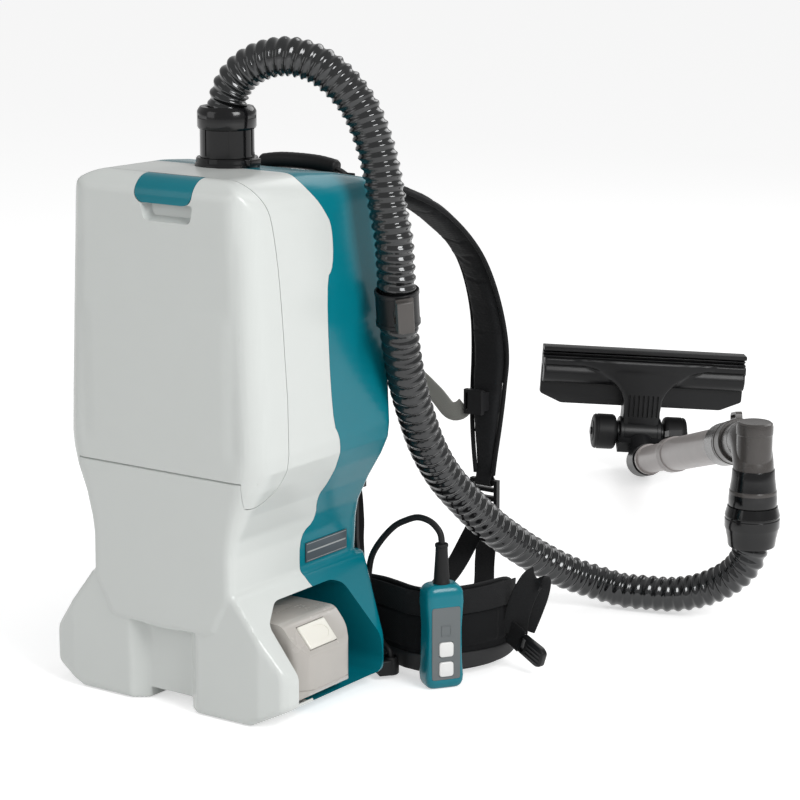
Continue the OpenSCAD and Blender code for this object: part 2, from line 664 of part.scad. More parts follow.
strap_route = [[72, pad_y + 1.5, 480], [74, 135, 482], [80, 168, 471], [86, 208, 452], [89, 250, 424],
    [90, 284, 392], [90, 306, 356], [90, 319, 318], [90, 323, 283], [90, 320, 250], [89, 318, 215],
    [88, 317, 180], [87, 318, 150]];
strap_path = even_points(spline(strap_route, 6), 26);
// Share of the full width along the pad
pad_widths = [[0, 0.62], [0.2, 1], [0.45, 0.86], [0.7, 0.9], [0.88, 0.66], [1, 0.44]];
module shoulder_pad() {
    n = len(strap_path) - 1;
    sweep_pad(strap_path,
        [for (i = [0 : n]) let (a = -20 * sin(180 * min(1, i / n * 1.2))) [cos(a), sin(a), 0]],
        [for (i = [0 : n]) strap_w * lookup(i / n, pad_widths)],
        [for (i = [0 : n]) strap_t * (0.5 + 0.5 * pow(sin(180 * (0.06 + 0.88 * i / n)), 0.7))]);
}
module shoulder_pad_right() color(fabric_black) shoulder_pad();
module shoulder_pad_left() color(fabric_black) mirror([1, 0, 0]) shoulder_pad();

buckle_c = [87, 319, 133.2];
module ladder_buckles() color(black) mirror_pair() translate(buckle_c) difference() {
    translate([-17, -3, -16]) cube([34, 6, 32]);
    for (z = [-10, 0, 9]) translate([-13, -5, z - 2]) cube([26, 10, 5]);
}
// Flat strip of webbing: wide along X
module web_strip(route, w = web_w) skin([for (q = even_points(spline(route, 5), 3 * len(route)))
    [q + [w / 2, 0, 0], q + [w / 2, web_t, 0], q + [-w / 2, web_t, 0], q + [-w / 2, 0, 0]]]);
module web_band(route, w = web_w) {
    p = even_points(spline(route, 5), 3 * len(route));
    v = [for (i = [0 : len(p) - 1]) unit(cross(tangent(p, i), [1, 0, 0]))];
    skin([for (i = [0 : len(p) - 1]) [p[i] + [w / 2, 0, 0] + v[i] * web_t / 2,
        p[i] + [-w / 2, 0, 0] + v[i] * web_t / 2, p[i] + [-w / 2, 0, 0] - v[i] * web_t / 2,
        p[i] + [w / 2, 0, 0] - v[i] * web_t / 2]]);
}
module strap_webbing() color(black) mirror_pair() {
    // From the buckle down to the hip belt's root, and its loose tail
    web_band([[88, 317, 116], [86, 296, 92], [83, 258, 58], [82, 200, 34], [82, 129, 26]]);
    web_band([[89, 320.9, 116.7], [87, 323, 92], [86, 322, 60], [85, 321, 28]]);
}
module sternum_strap() color("#9a9a94") {
    p = even_points(spline([[73.6, 299, 230], [66, 298.6, 224], [54, 298, 224], [36, 298, 240], [8, 299, 256],
        [-30, 299, 256], [-62, 299, 246], [-73.6, 299, 238]], 4), 24);
    skin([for (q = p) [q + [0, 0, 10], q + [0, web_t, 10], q + [0, web_t, -10], q + [0, 0, -10]]]);
}
module sternum_slider() color(black) mirror_pair() translate([88, 300, 236]) difference() {
    union() {
        translate([-14, -3, -13]) cube([22, 6, 26]);
        // Clip on the pad's face
        translate([-8, 2, -10]) cube([16, 10, 20]);
    }
    translate([-12, -5, -10]) cube([3, 12, 20]);
}

belt_route = [[74.4, 118.4, 0], [98, 119.5, 0], [124, 113, 0], [145, 108, 0], [162, 115.5, 0], [177, 132, 0],
    [188, 155, 0], [193, 182, 0], [188, 210, 0], [174, 232, 0]];
belt_path = even_points(spline(belt_route, 6), 24);
// Belt wing: three channels high, thinning at its rounded end
module belt_wing() {
    n = len(belt_path) - 1;
    section = [for (k = [0 : 15]) let (u = k < 8 ? k / 7 : (15 - k) / 7, side = k < 8 ? 1 : -1,
        bulge = pow(max(0, sin(180 * u)), 0.4) * (0.82 + 0.18 * abs(sin(540 * u)))) [u - 0.5, side * bulge / 2]];
    skin([for (i = [0 : n]) let (t = tangent(belt_path, i), out = unit([t[1], -t[0], 0]),
            end = i / n, h = (belt_h - 4) * (end < 0.7 ? 1 : sqrt(max(0.08, 1 - pow((end - 0.7) / 0.32, 2)))),
            w = belt_t * (end < 0.85 ? 1 : 0.6))
        [for (k = [15 : -1 : 0]) let (s = section[k])
            belt_path[i] + [0, 0, 2 + belt_h / 2 + s[0] * h] + out * (s[1] * w + (s[1] == 0 ? 0.01 : 0))]]);
}
module hip_belt_right() color(fabric_black) belt_wing();
module hip_belt_left() color(fabric_black) mirror([1, 0, 0]) belt_wing();
module lumbar_pad() color(fabric_black) {
    skin([for (k = [0 : 12]) let (u = k / 12, z = 2 + belt_h * u, e = pow(max(0.02, sin(180 * u)), 0.4),
            d = 24 * e * (0.85 + 0.15 * abs(sin(540 * u))))
        [for (p = [[69, 0.3], [71, 0.4 + d * 0.5], [62, 0.5 + d * 0.9], [20, 0.5 + d], [-20, 0.5 + d],
            [-62, 0.5 + d * 0.9], [-71, 0.4 + d * 0.5], [-69, 0.3]]) [p[0], pad_y + p[1], z]]]);
}
// The strip droops as it leaves the wing
belt_web = spline([[202.3, 184, 37], [211, 182.8, 34], [221.6, 180.1, 29.2]], 4);
belt_droop = 20;
module belt_webbing() color(black) mirror_pair() {
    n = len(belt_web) - 1;
    skin([for (i = [0 : n]) let (q = belt_web[i], a = belt_droop * i / n, up = [sin(a), 0, cos(a)])
        [q + up * web_w / 2, q + [0, web_t, 0] + up * web_w / 2, q + [0, web_t, 0] - up * web_w / 2,
            q - up * web_w / 2]]);
}
module buckle_block() translate([222, 181, 29]) rotate([0, belt_droop, -14]) difference() {
    translate([0, -4, -11]) cube([34, 8, 22]);
    translate([4, -6, -8]) cube([4, 12, 16]);
    translate([26, -6, -8]) cube([3, 12, 16]);
}
module belt_buckle() color(black) buckle_block();
module belt_tongue() color(black) mirror([1, 0, 0]) buckle_block();

// ---------------------------------------------------------------- hose

hose_r = hose_d / 2;
hose_route = [[0, 0, 527], [0, 0, 547], [0, 0, 565], [5, 2, 584], [17, 6, 600], [36, 12, 611],
    [60, 20, 615], [85, 30, 608], [106, 39, 591], [122, 47, 568], [133, 52, 540], [140, 56, 510],
    [145, 59, 475], [149, 63, 445], [148, 68, 415], [146, 73, 385], [144, 79, 355], [140, 90, 328],
    [134, 108, 295], [127, 133, 258], [121, 162, 219], [118, 196, 182], [118, 236, 147],
    [121, 278, 113], [128, 320, 83], [138, 354, 60], [153, 386, 40], [175, 410, 27],
    [200, 422, 20], [226, 429, 20], [252, 436, 21], [277, 442, 27], [300, 447, 38],
    [320, 449, 53], [333, 450, 72], [337, 450, 92], [337, 450, 110], [337, 450, 130]];
hose_fine = spline(hose_route, 5);
hose_len = lengths(hose_fine)[len(hose_fine) - 1];
hose_ribs = round(hose_len / rib_pitch);
hose_sides = 8;
module hose() color("#2e3032") {
    outer = even_points(hose_fine, 2 * hose_ribs);
    bore = even_points(hose_fine, 64);
    vo = side_vectors(outer, [1, 0, 0]);
    vb = side_vectors(bore, [1, 0, 0]);
    no = len(outer);
    nb = len(bore);
    s = hose_sides;
    ring = function (p, v, t, r) let (w = cross(t, v))
        [for (k = [0 : s - 1]) let (a = -360 * k / s) p + r * (cos(a) * v + sin(a) * w)];
    outer_pts = [for (i = [0 : no - 1]) each ring(outer[i], vo[i], tangent(outer, i),
        i % 2 == 0 ? hose_r - rib_h : hose_r)];
    bore_pts = [for (i = [0 : nb - 1]) each ring(bore[i], vb[i], tangent(bore, i), hose_r - rib_h - 1.6)];
    b = no * s;
    quads = function (base, m, flip) [for (j = [0 : m - 2]) for (i = [0 : s - 1]) for (h = [0, 1])
        let (p = base + j * s + i, q = base + j * s + (i + 1) % s, p2 = p + s, q2 = q + s)
        h == 0 ? (flip ? [p, q, p2] : [p, p2, q]) : (flip ? [q, q2, p2] : [q, p2, q2])];
    ends = [for (i = [0 : s - 1]) let (n = (i + 1) % s, l = (no - 1) * s, m = b + (nb - 1) * s) each [
        [i, n, b + i], [n, b + n, b + i], [l + i, m + i, l + n], [l + n, m + i, m + n]]];
    polyhedron(concat(outer_pts, bore_pts), concat(quads(0, no, false), quads(b, nb, true), ends));
}
echo(hose_length = hose_len, ribs = hose_ribs);

// Band round the hose's straight stretch beside the shell, and its hook
band_mid = [145.6, 74.3, 378];
band_dir = unit([4, -11, 60]);
band_l = 35;
module along_band() translate(band_mid) rotate([0, acos(band_dir[2]), atan2(band_dir[1], band_dir[0])]) children();
module hose_band() color(black) along_band() translate([0, 0, -band_l / 2]) tube(hose_r + 2.6, hose_r + hose_gap, band_l);
module hose_hook() color("#4d5052") along_band() rotate([0, 0, 32]) translate([hose_r + 2.6 + slack, 0, 0])
    difference() {
        union() {
            translate([0, -9, -16]) cube([3, 18, 32]);
            translate([0, -6, -12]) cube([13, 3, 22]);
            translate([0, 3, -12]) cube([13, 3, 22]);
        }
        translate([8, 12, 0]) rotate([90, 0, 0]) cylinder(r = 2.6, h = 30);
    }

// ---------------------------------------------------------------- wand

elbow_x = 337;
elbow_y = 450;
elbow_z = neck_r + wand_l * sin(wand_pitch);
bend_r = 30;
bend_turn = 90 + wand_pitch;
bend_t = bend_r * tan(bend_turn / 2);
cuff_lo = 86;
bell_lo = 130;
module in_wand() translate([elbow_x, elbow_y, elbow_z]) rotate([0, wand_pitch, wand_yaw]) children();
// Same place, but with its X axis level and Z upright
module at_elbow() translate([elbow_x, elbow_y, elbow_z]) rotate([0, 0, wand_yaw]) children();

module wand_cuff() color(black) translate([elbow_x, elbow_y, cuff_lo]) difference() {
    rotate_extrude() polygon([[0, 0], [24.6, 0], [26, 10], [29, 22], [29, bell_lo - cuff_lo - 8],
        [26.5, bell_lo - cuff_lo - slack], [0, bell_lo - cuff_lo - slack]]);
    translate([0, 0, -1]) rotate_extrude() polygon([[0, 0], [hose_r + 3, 0], [hose_r + hose_gap, 14],
        [hose_r + hose_gap, 80], [0, 80]]);
}
module bend(r) at_elbow() translate([bend_r, 0, -bend_t]) rotate([90, 0, 0])
    rotate_extrude(angle = -bend_turn) translate([-bend_r, 0]) circle(r = r);
pipe_start = bend_t;
collar_x = 60;
collar_end = 148;
bent_end = collar_end;
joint_step = 0.2;
module upright(r, z0, h) translate([elbow_x, elbow_y, z0]) cylinder(r = r, h = h);
module bent_pipe() color("#4a4744") difference() {
    union() {
        bend(bent_r - joint_step);
        upright(bent_r, bell_lo, elbow_z - bend_t - bell_lo);
        translate([elbow_x, elbow_y, bell_lo]) rotate_extrude() polygon([[0, 0], [25, 0], [25, 16],
            [bent_r, 26], [0, 26]]);
        in_wand() translate([pipe_start, 0, 0]) along_x() cylinder(r = bent_r, h = bent_end - pipe_start);
        in_wand() translate([collar_x + 46, 0, 0]) along_x() cylinder(r = bent_r + 2.5, h = bent_end - collar_x - 46);
    }
    bend(bent_r - 3.2 - joint_step);
    upright(bent_r - 3, bell_lo - 1, elbow_z - bend_t - bell_lo + 1);
    upright(hose_r + hose_gap, bell_lo - 1, 1 + slack);
    in_wand() translate([pipe_start, 0, 0]) along_x() cylinder(r = bent_r - 3, h = bent_end);
    in_wand() translate([bent_end - 34, 0, 0]) along_x() cylinder(r = outer_pipe_r, h = 80);
    // Relief port under the air slide
    in_wand() translate([collar_x + 16, -4, 8]) cube([20, 8, 30]);
}
slide_x = collar_x + 8;
slide_w = 34;
module air_slide() color("#6a6764") in_wand() translate([slide_x, 0, 0]) {
    along_x() tube(bent_r + 3, bent_r + 0.06, slide_w);
    // Raised thumb loop
    translate([4, -3, bent_r + 2]) difference() {
        cube([26, 6, 12]);
        translate([5, -1, 3]) cube([16, 8, 5]);
    }
}
outer_end = 470;
module outer_pipe() color("#8f8a86") in_wand() difference() {
    union() {
        translate([bent_end - 34 + slack, 0, 0]) along_x() cylinder(r = outer_pipe_r - 0.02, h = outer_end - bent_end + 34 - slack);
        translate([outer_end - 44, 0, 0]) along_x() cylinder(r = outer_pipe_r + 1.5, h = 36);
    }
    translate([0, 0, 0]) along_x() cylinder(r = inner_pipe_r + 0.08, h = outer_end + 1);
    // Slot for the lock
    translate([outer_end - 31, -5, inner_pipe_r - 4]) cube([17, 10, 20]);
}
module pipe_lock() color(black) in_wand() translate([outer_end - 26, 0, outer_pipe_r + 1.8]) {
    translate([-12, -8, 0]) cube([26, 16, 7]);
    translate([-4, -4, -4]) cube([8, 8, 6]);
}
inner_start = 245;
inner_end = wand_l - 8;
neck_socket = 44;
module inner_pipe() color("#a8a29d") in_wand() difference() {
    union() {
        translate([inner_start, 0, 0]) along_x() cylinder(r = inner_pipe_r, h = inner_end - inner_start);
        // Pale ring where the pipe enters the neck
        translate([inner_end - neck_socket - 10, 0, 0]) along_x() cylinder(r = inner_pipe_r + 2, h = 9);
    }
    translate([inner_start - 1, 0, 0]) along_x() cylinder(r = inner_pipe_r - pipe_wall, h = 600);
}

// ---------------------------------------------------------------- floor nozzle

neck_roll = 4;
barrel_x = 35;
barrel_z = 38;
barrel_r = 19;
head_w2 = 27;
module in_neck() in_wand() translate([wand_l, 0, 0]) rotate([neck_roll, 0, 0]) children();
module in_head() in_neck() translate([barrel_x, 0, barrel_z]) rotate([0, -wand_pitch, 0]) children();
riser_a = atan2(barrel_x, barrel_z);
riser_l = norm([barrel_x, barrel_z]);
axle_r = 5;
bar_top = riser_l - barrel_r - slack;
yoke_w = head_w2 + 3;
axle_l = yoke_w + slack + roller_w + 2;
module along_riser() rotate([0, riser_a, 0]) children();
module nozzle_neck() color(black) in_neck() difference() {
    union() {
        translate([-neck_socket, 0, 0]) along_x() cylinder(r = neck_r, h = neck_socket);
        sphere(r = neck_r);
        along_riser() cylinder(r = neck_r - 4, h = bar_top);
        // Yoke and axle that hold the barrel
        along_riser() translate([-9, -yoke_w, bar_top - 9]) cube([18, 2 * yoke_w, 9]);
        for (s = [-1, 1]) along_riser() translate([0, s * (yoke_w - 1.35), 0]) {
            translate([-9, -1.35, bar_top - 9]) cube([18, 2.7, riser_l - bar_top + 9]);
            translate([0, 0, riser_l]) rotate([90, 0, 0]) translate([0, 0, -1.35]) cylinder(r = barrel_r - 4, h = 2.7);
        }
        translate([barrel_x, -axle_l, barrel_z]) rotate([-90, 0, 0]) cylinder(r = axle_r, h = 2 * axle_l);
    }
    translate([-neck_socket - 1, 0, 0]) along_x() cylinder(r = inner_pipe_r + 0.06, h = neck_socket - 7);
    translate([-20, 0, 0]) along_x() cylinder(r = inner_pipe_r - 3, h = 20);
    along_riser() cylinder(r = neck_r - 8, h = bar_top + 1);
}
plate_lo = 34;
plate_hi = plate_lo + plate_h;
head_x = 6;
module nozzle_head() color(black) in_head() difference() {
    union() {
        // Barrel that turns on the neck's axle
        rotate([90, 0, 0]) translate([0, 0, -head_w2]) cylinder(r = barrel_r, h = 2 * head_w2);
        // Central duct
        rotate([90, 0, 90]) translate([0, 0, -barrel_r + 3]) linear_extrude(barrel_r - 3 + head_x + 7) polygon([
            [-20, 6], [20, 6], [22, 34], [48, 62], [48, 72], [-48, 72], [-48, 62], [-22, 34]]);
        // Plate, cross duct and ridged lip
        translate([head_x, 0, 0]) rotate([90, 0, 90]) linear_extrude(8) polygon(both_sides([
            [nozzle_w / 2 - 28, plate_lo], [nozzle_w / 2, plate_lo + 12], [nozzle_w / 2, plate_hi]]));
        translate([head_x - 2, -nozzle_w / 2, 76]) rotate([-90, 0, 0]) cylinder(r = 15, h = nozzle_w);
        translate([head_x - 12, -nozzle_w / 2, plate_hi - 6]) cube([22, nozzle_w, 6]);
        translate([head_x - 8, -nozzle_w / 2, plate_hi - 16]) cube([18, nozzle_w, 4]);
    }
    rotate([90, 0, 0]) translate([0, 0, -60]) cylinder(r = axle_r + 0.06, h = 120);
    // Suction slot and the duct behind it
    translate([head_x - 8, -nozzle_w / 2 + 8, 66]) cube([40, nozzle_w - 16, 20]);
    translate([-9, -14, axle_r + 3]) cube([16, 28, 62]);
}
module nozzle_brushes() color("#3a1d1d") in_head() for (z = [60, 88])
    translate([head_x + 8.1, -nozzle_w / 2 + 8, z]) cube([6, nozzle_w - 16, 4]);
module roller(s) in_neck() translate([barrel_x, s * (head_w2 + 3.3 + roller_w / 2), barrel_z]) rotate([90, 0, 0])
    difference() {
        translate([0, 0, -roller_w / 2]) rotate_extrude() polygon([[0, 0], [roller_r - 4, 0], [roller_r, 5],
            [roller_r, roller_w - 5], [roller_r - 4, roller_w], [0, roller_w]]);
        translate([0, 0, -roller_w]) cylinder(r = axle_r + 0.06, h = 2 * roller_w);
    }
module roller_right() color("#202022") roller(-1);
module roller_left() color("#202022") roller(1);

// ---------------------------------------------------------------- handset

handset_at = [182.4, 96.4, 0.4];
handset_yaw = 55;
module in_handset() translate(handset_at) rotate([0, 0, handset_yaw]) children();
face_t = 1.6;
key_z = [20, 40];
module handset_case() color(teal) in_handset() difference() {
    union() {
        intersection() {
            translate([-handset_w / 2, -handset_t / 2, 0]) cube([handset_w, handset_t, handset_h]);
            linear_extrude(handset_h) polygon([for (c = [[-1, 180], [1, 270], [2, 0], [-2, 90]])
                each arc([(c[0] < 0 ? -1 : 1) * (handset_w / 2 - 6), (c[1] == 180 || c[1] == 270 ? -1 : 1) * (handset_t / 2 - 6)],
                    6, c[1], c[1] + 90, 6)]);
        }
        // Clip that hooks over the belt
        translate([-9, handset_t / 2 - 1, 50]) cube([18, 4.7, 44]);
    }
    translate([-handset_w / 2 + 5, -handset_t / 2 - 1, 9]) cube([handset_w - 10, 1 + face_t + 2 * slack, 74]);
    for (z = key_z) translate([-key_s / 2 - slack, -handset_t / 2 - 1, z - key_s / 2 - slack]) cube([key_s + 2 * slack, 9, key_s + 2 * slack]);
}
module handset_face() color("#70767a") in_handset() difference() {
    translate([-handset_w / 2 + 5.2, -handset_t / 2 + slack, 9.2]) cube([handset_w - 10.4, face_t, 73.6]);
    for (z = key_z) translate([-key_s / 2 - slack, -handset_t / 2 - 1, z - key_s / 2 - slack]) cube([key_s + 2 * slack, 9, key_s + 2 * slack]);
}
module key(z) in_handset() translate([-key_s / 2, -handset_t / 2 - 1.2, z - key_s / 2]) cube([key_s, 6, key_s]);
module power_button() color("#f2f2ee") key(key_z[0]);
module mode_button() color("#f2f2ee") key(key_z[1]);

relief_h = 40;
gland_at = [128, 87, 0];
// Flare of a bore that a cable leaves
mouth = 1;
module cable_fittings() color(black) {
    // Strain relief on top of the handset
    translate([handset_at[0], handset_at[1], handset_at[2] + handset_h]) difference() {
        cylinder(r1 = 8, r2 = 5, h = relief_h, $fn = 24);
        translate([0, 0, relief_h - 9]) cylinder(r1 = cable_d / 2 + 0.1, r2 = cable_d / 2 + mouth, h = 9.1);
    }
    // Gland on the base's rear corner
    translate(gland_at) difference() {
        union() {
            rotate([0, 0, 52.5]) translate([-14.4, -9, 4]) cube([14.4, 18, 16]);
            translate([0, 0, 4]) cylinder(r = 8.5, h = 18, $fn = 24);
        }
        translate([0, 0, 8]) cylinder(r1 = cable_d / 2 + 0.1, r2 = cable_d / 2 + 3 * mouth, h = 14.1);
    }
}
cable_route = [[182.4, 96.4, 136.5], [182.4, 96.4, 147], [179.5, 96.5, 156], [169, 96.8, 164], [154, 97, 166],
    [139, 97, 160.5], [125, 97.2, 152], [108.5, 98.5, 135], [96, 100.5, 116.5], [90.5, 102.5, 95.5], [90.5, 102.5, 79],
    [97, 98, 60], [106, 92.5, 43.5], [118, 88.5, 33], [126, 87.1, 27.5], [128, 87, 20], [128, 87, 9.5]];
module handset_cable() color("#222224") {
    p = even_points(spline(cable_route, 4), 44);
    sweep_round(p, cable_d / 2, 8, [1, 0, 0]);
}

rear_housing();
front_housing();
lid();
lid_gasket();
hinge_pins();
latch();
latch_pin();
inlet_socket();
inlet_cuff();
bag_collar();
dust_bag();
prefilter();
hepa_filter();
motor_housing();
motor_mounts();
fan_impeller();
control_board();
battery_trays();
battery_right();
battery_left();
battery_button_right();
battery_button_left();
exhaust_grilles();
housing_screws();
rating_plate();
harness_plate();
back_pad();
carry_handle();
shoulder_pad_right();
shoulder_pad_left();
ladder_buckles();
strap_webbing();
sternum_strap();
sternum_slider();
hip_belt_right();
hip_belt_left();
lumbar_pad();
belt_webbing();
belt_buckle();
belt_tongue();
hose();
hose_band();
hose_hook();
wand_cuff();
bent_pipe();
air_slide();
outer_pipe();
pipe_lock();
inner_pipe();
nozzle_neck();
nozzle_head();
nozzle_brushes();
roller_right();
roller_left();
handset_case();
handset_face();
power_button();
mode_button();
handset_cable();
cable_fittings();
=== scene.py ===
"""Looks for the backpack vacuum cleaner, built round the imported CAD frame. Metres, +Z up, -Y is the lid side."""
import math

import bmesh
import bpy
import numpy as np
from mathutils import Matrix, Vector


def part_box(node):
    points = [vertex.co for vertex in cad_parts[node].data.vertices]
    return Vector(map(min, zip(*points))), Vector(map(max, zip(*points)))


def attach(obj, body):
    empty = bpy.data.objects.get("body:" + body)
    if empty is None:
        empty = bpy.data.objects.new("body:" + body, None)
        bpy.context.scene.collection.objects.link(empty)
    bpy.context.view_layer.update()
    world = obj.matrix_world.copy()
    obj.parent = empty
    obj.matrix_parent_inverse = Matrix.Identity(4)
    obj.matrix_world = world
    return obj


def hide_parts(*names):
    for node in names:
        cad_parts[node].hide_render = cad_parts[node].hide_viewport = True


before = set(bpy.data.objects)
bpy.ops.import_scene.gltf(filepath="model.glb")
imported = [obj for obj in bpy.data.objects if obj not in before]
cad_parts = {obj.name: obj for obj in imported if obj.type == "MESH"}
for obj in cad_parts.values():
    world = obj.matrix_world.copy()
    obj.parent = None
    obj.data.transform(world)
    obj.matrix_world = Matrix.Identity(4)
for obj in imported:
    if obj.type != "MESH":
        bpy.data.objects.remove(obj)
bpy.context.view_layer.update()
MM = 0.001
SIDES = ((1, "right"), (-1, "left"))
X_AXIS = (1, 0, 0)
scene = bpy.context.scene
scene.view_settings.view_transform = "Standard"


def linked(name, data):
    made = bpy.data.objects.new(name, data)
    scene.collection.objects.link(made)
    return made


# ------------------------------------------------------------ camera and stage

AZIMUTH, ELEVATION = math.radians(35), math.radians(12.5)
CAMERA_PLACE = (1.54805, -1.92457, 0.82785)
LENS, SENSOR = 117, 36
FLOOR_HALF, FLOOR_DROP, FLOOR_GLOW = 30.0, 0.0005, 0.55
WORLD_LIGHT = 0.46
# Name, place, what it is aimed at, size and power
LAMPS = (
    ("key", (2.3, -0.5, 1.7), (0.05, 0.0, 0.25), 1.1, 46),
    ("fill", (-1.2, -2.4, 1.5), (0.1, 0.1, 0.25), 1.6, 11),
    ("back", (0.3, 2.4, 1.9), (0.1, 0.2, 0.3), 1.5, 16),
)

camera_data = bpy.data.cameras.new("camera")
camera_data.lens = LENS
camera_data.sensor_width = SENSOR
camera_data.clip_end = 100
camera = linked("camera", camera_data)
camera.location = CAMERA_PLACE
aim = Vector((-math.sin(AZIMUTH) * math.cos(ELEVATION), math.cos(AZIMUTH) * math.cos(ELEVATION), -math.sin(ELEVATION)))
camera.rotation_euler = aim.to_track_quat("-Z", "Y").to_euler()
scene.camera = camera


def node_in(tree, kind, **inputs):
    """A new node with these values on its inputs. A name's _ stands for a space."""
    made = tree.nodes.new(kind)
    for name, value in inputs.items():
        made.inputs[name.replace("_", " ")].default_value = value
    return made


def larger_of(tree, one, other):
    most = tree.nodes.new("ShaderNodeMath")
    most.operation = "MAXIMUM"
    tree.links.new(one, most.inputs[0])
    tree.links.new(other, most.inputs[1])
    return most.outputs[0]


def camera_white(tree, shader, strength):
    """Adds the seen background's own white to a shader, for the camera and for reflections alone."""
    path = tree.nodes.new("ShaderNodeLightPath")
    glow = node_in(tree, "ShaderNodeEmission", Strength=strength)
    gap = tree.nodes.new("ShaderNodeMixShader")
    total = tree.nodes.new("ShaderNodeAddShader")
    rays = larger_of(tree, path.outputs["Is Camera Ray"], path.outputs["Is Glossy Ray"])
    tree.links.new(rays, gap.inputs[0])
    tree.links.new(glow.outputs[0], gap.inputs[2])
    tree.links.new(shader.outputs[0], total.inputs[0])
    tree.links.new(gap.outputs[0], total.inputs[1])
    return total


def make_floor():
    mesh = bpy.data.meshes.new("floor")
    size = FLOOR_HALF
    mesh.from_pydata([(-size, -size, 0), (size, -size, 0), (size, size, 0), (-size, size, 0)], [], [(0, 1, 2, 3)])
    floor = linked("floor", mesh)
    floor.location.z = -FLOOR_DROP
    paint = bpy.data.materials.new("floor_white")
    paint.use_nodes = True
    tree = paint.node_tree
    tree.nodes.clear()
    diffuse = node_in(tree, "ShaderNodeBsdfDiffuse", Color=(0.8, 0.8, 0.8, 1))
    total = camera_white(tree, diffuse, FLOOR_GLOW)
    out = tree.nodes.new("ShaderNodeOutputMaterial")
    tree.links.new(total.outputs[0], out.inputs[0])
    mesh.materials.append(paint)


def make_world():
    world = bpy.data.worlds.new("studio")
    scene.world = world
    world.use_nodes = True
    tree = world.node_tree
    tree.nodes.clear()
    ambient = node_in(tree, "ShaderNodeBackground", Color=(1, 1, 1, 1), Strength=WORLD_LIGHT)
    seen = node_in(tree, "ShaderNodeBackground", Color=(1, 1, 1, 1), Strength=1.0)
    path = tree.nodes.new("ShaderNodeLightPath")
    mix = tree.nodes.new("ShaderNodeMixShader")
    out = tree.nodes.new("ShaderNodeOutputWorld")
    tree.links.new(path.outputs["Is Camera Ray"], mix.inputs[0])
    tree.links.new(ambient.outputs[0], mix.inputs[1])
    tree.links.new(seen.outputs[0], mix.inputs[2])
    tree.links.new(mix.outputs[0], out.inputs[0])


def make_lamps():
    for name, place, aim, size, power in LAMPS:
        data = bpy.data.lights.new(name, "AREA")
        data.size = size
        data.energy = power
        lamp = linked(name, data)
        lamp.location = place
        lamp.rotation_euler = (Vector(aim) - Vector(place)).to_track_quat("-Z", "Y").to_euler()


make_floor()
make_world()
make_lamps()

# ------------------------------------------------------------ materials


def weave_height(tree, place, per_metre):
    """Two crossed bands of threads, distorted a little so that they aren't ruled lines."""
    bands = []
    for direction in ("DIAGONAL", "Z"):
        wave = node_in(tree, "ShaderNodeTexWave", Scale=per_metre / 6.2832, Distortion=1.2)
        wave.wave_type = "BANDS"
        wave.bands_direction = direction
        tree.links.new(place, wave.inputs["Vector"])
        bands.append(wave.outputs["Fac"])
    return larger_of(tree, *bands)


def material(name, color, rough, metallic=0.0, vary=0.06, grain=900, bump=0.03, coat=0.0, sheen=0.0, weave=0,
             wear=None, specular=0.5, mottle=0.06):
    """Moulded plastic, metal or fabric: colour variation, fine grain or weave, and edge wear where asked for."""
    made = bpy.data.materials.new(name)
    made.use_nodes = True
    tree = made.node_tree
    link = tree.links.new
    shader = tree.nodes["Principled BSDF"]
    for socket, value in (("Metallic", metallic), ("IOR", 1.46), ("Coat Weight", coat), ("Coat Roughness", 0.12),
                          ("Sheen Weight", sheen), ("Sheen Roughness", 0.4), ("Specular IOR Level", specular)):
        shader.inputs[socket].default_value = value
    place = tree.nodes.new("ShaderNodeTexCoord").outputs["Object"]

    def noise(scale, detail):
        cloud = node_in(tree, "ShaderNodeTexNoise", Scale=scale, Detail=detail)
        link(place, cloud.inputs["Vector"])
        return cloud.outputs["Fac"]

    ramp = tree.nodes.new("ShaderNodeValToRGB")
    for step, position, factor in zip(ramp.color_ramp.elements, (0.3, 0.7), (1 - vary, 1 + vary)):
        step.position = position
        step.color = (*(min(1, c * factor) for c in color), 1)
    link(noise(14.0, 4.0), ramp.inputs["Fac"])
    last = ramp.outputs["Color"]
    if wear is not None:
        geometry = tree.nodes.new("ShaderNodeNewGeometry")
        edge = node_in(tree, "ShaderNodeMapRange", From_Min=0.53, From_Max=0.62, To_Max=0.35)
        link(geometry.outputs["Pointiness"], edge.inputs["Value"])
        mix = tree.nodes.new("ShaderNodeMix")
        mix.data_type = "RGBA"
        link(edge.outputs["Result"], mix.inputs[0])
        link(last, mix.inputs[6])
        mix.inputs[7].default_value = (*wear, 1)
        last = mix.outputs[2]
    link(last, shader.inputs["Base Color"])

    spread = node_in(tree, "ShaderNodeMapRange", To_Min=max(0.02, rough - mottle), To_Max=min(1.0, rough + mottle))
    link(noise(40.0, 3.0), spread.inputs["Value"])
    link(spread.outputs["Result"], shader.inputs["Roughness"])

    bumped = node_in(tree, "ShaderNodeBump", Strength=0.35 if weave else bump, Distance=0.0004)
    link(weave_height(tree, place, weave) if weave else noise(float(grain), 2.0), bumped.inputs["Height"])
    link(bumped.outputs["Normal"], shader.inputs["Normal"])
    return made


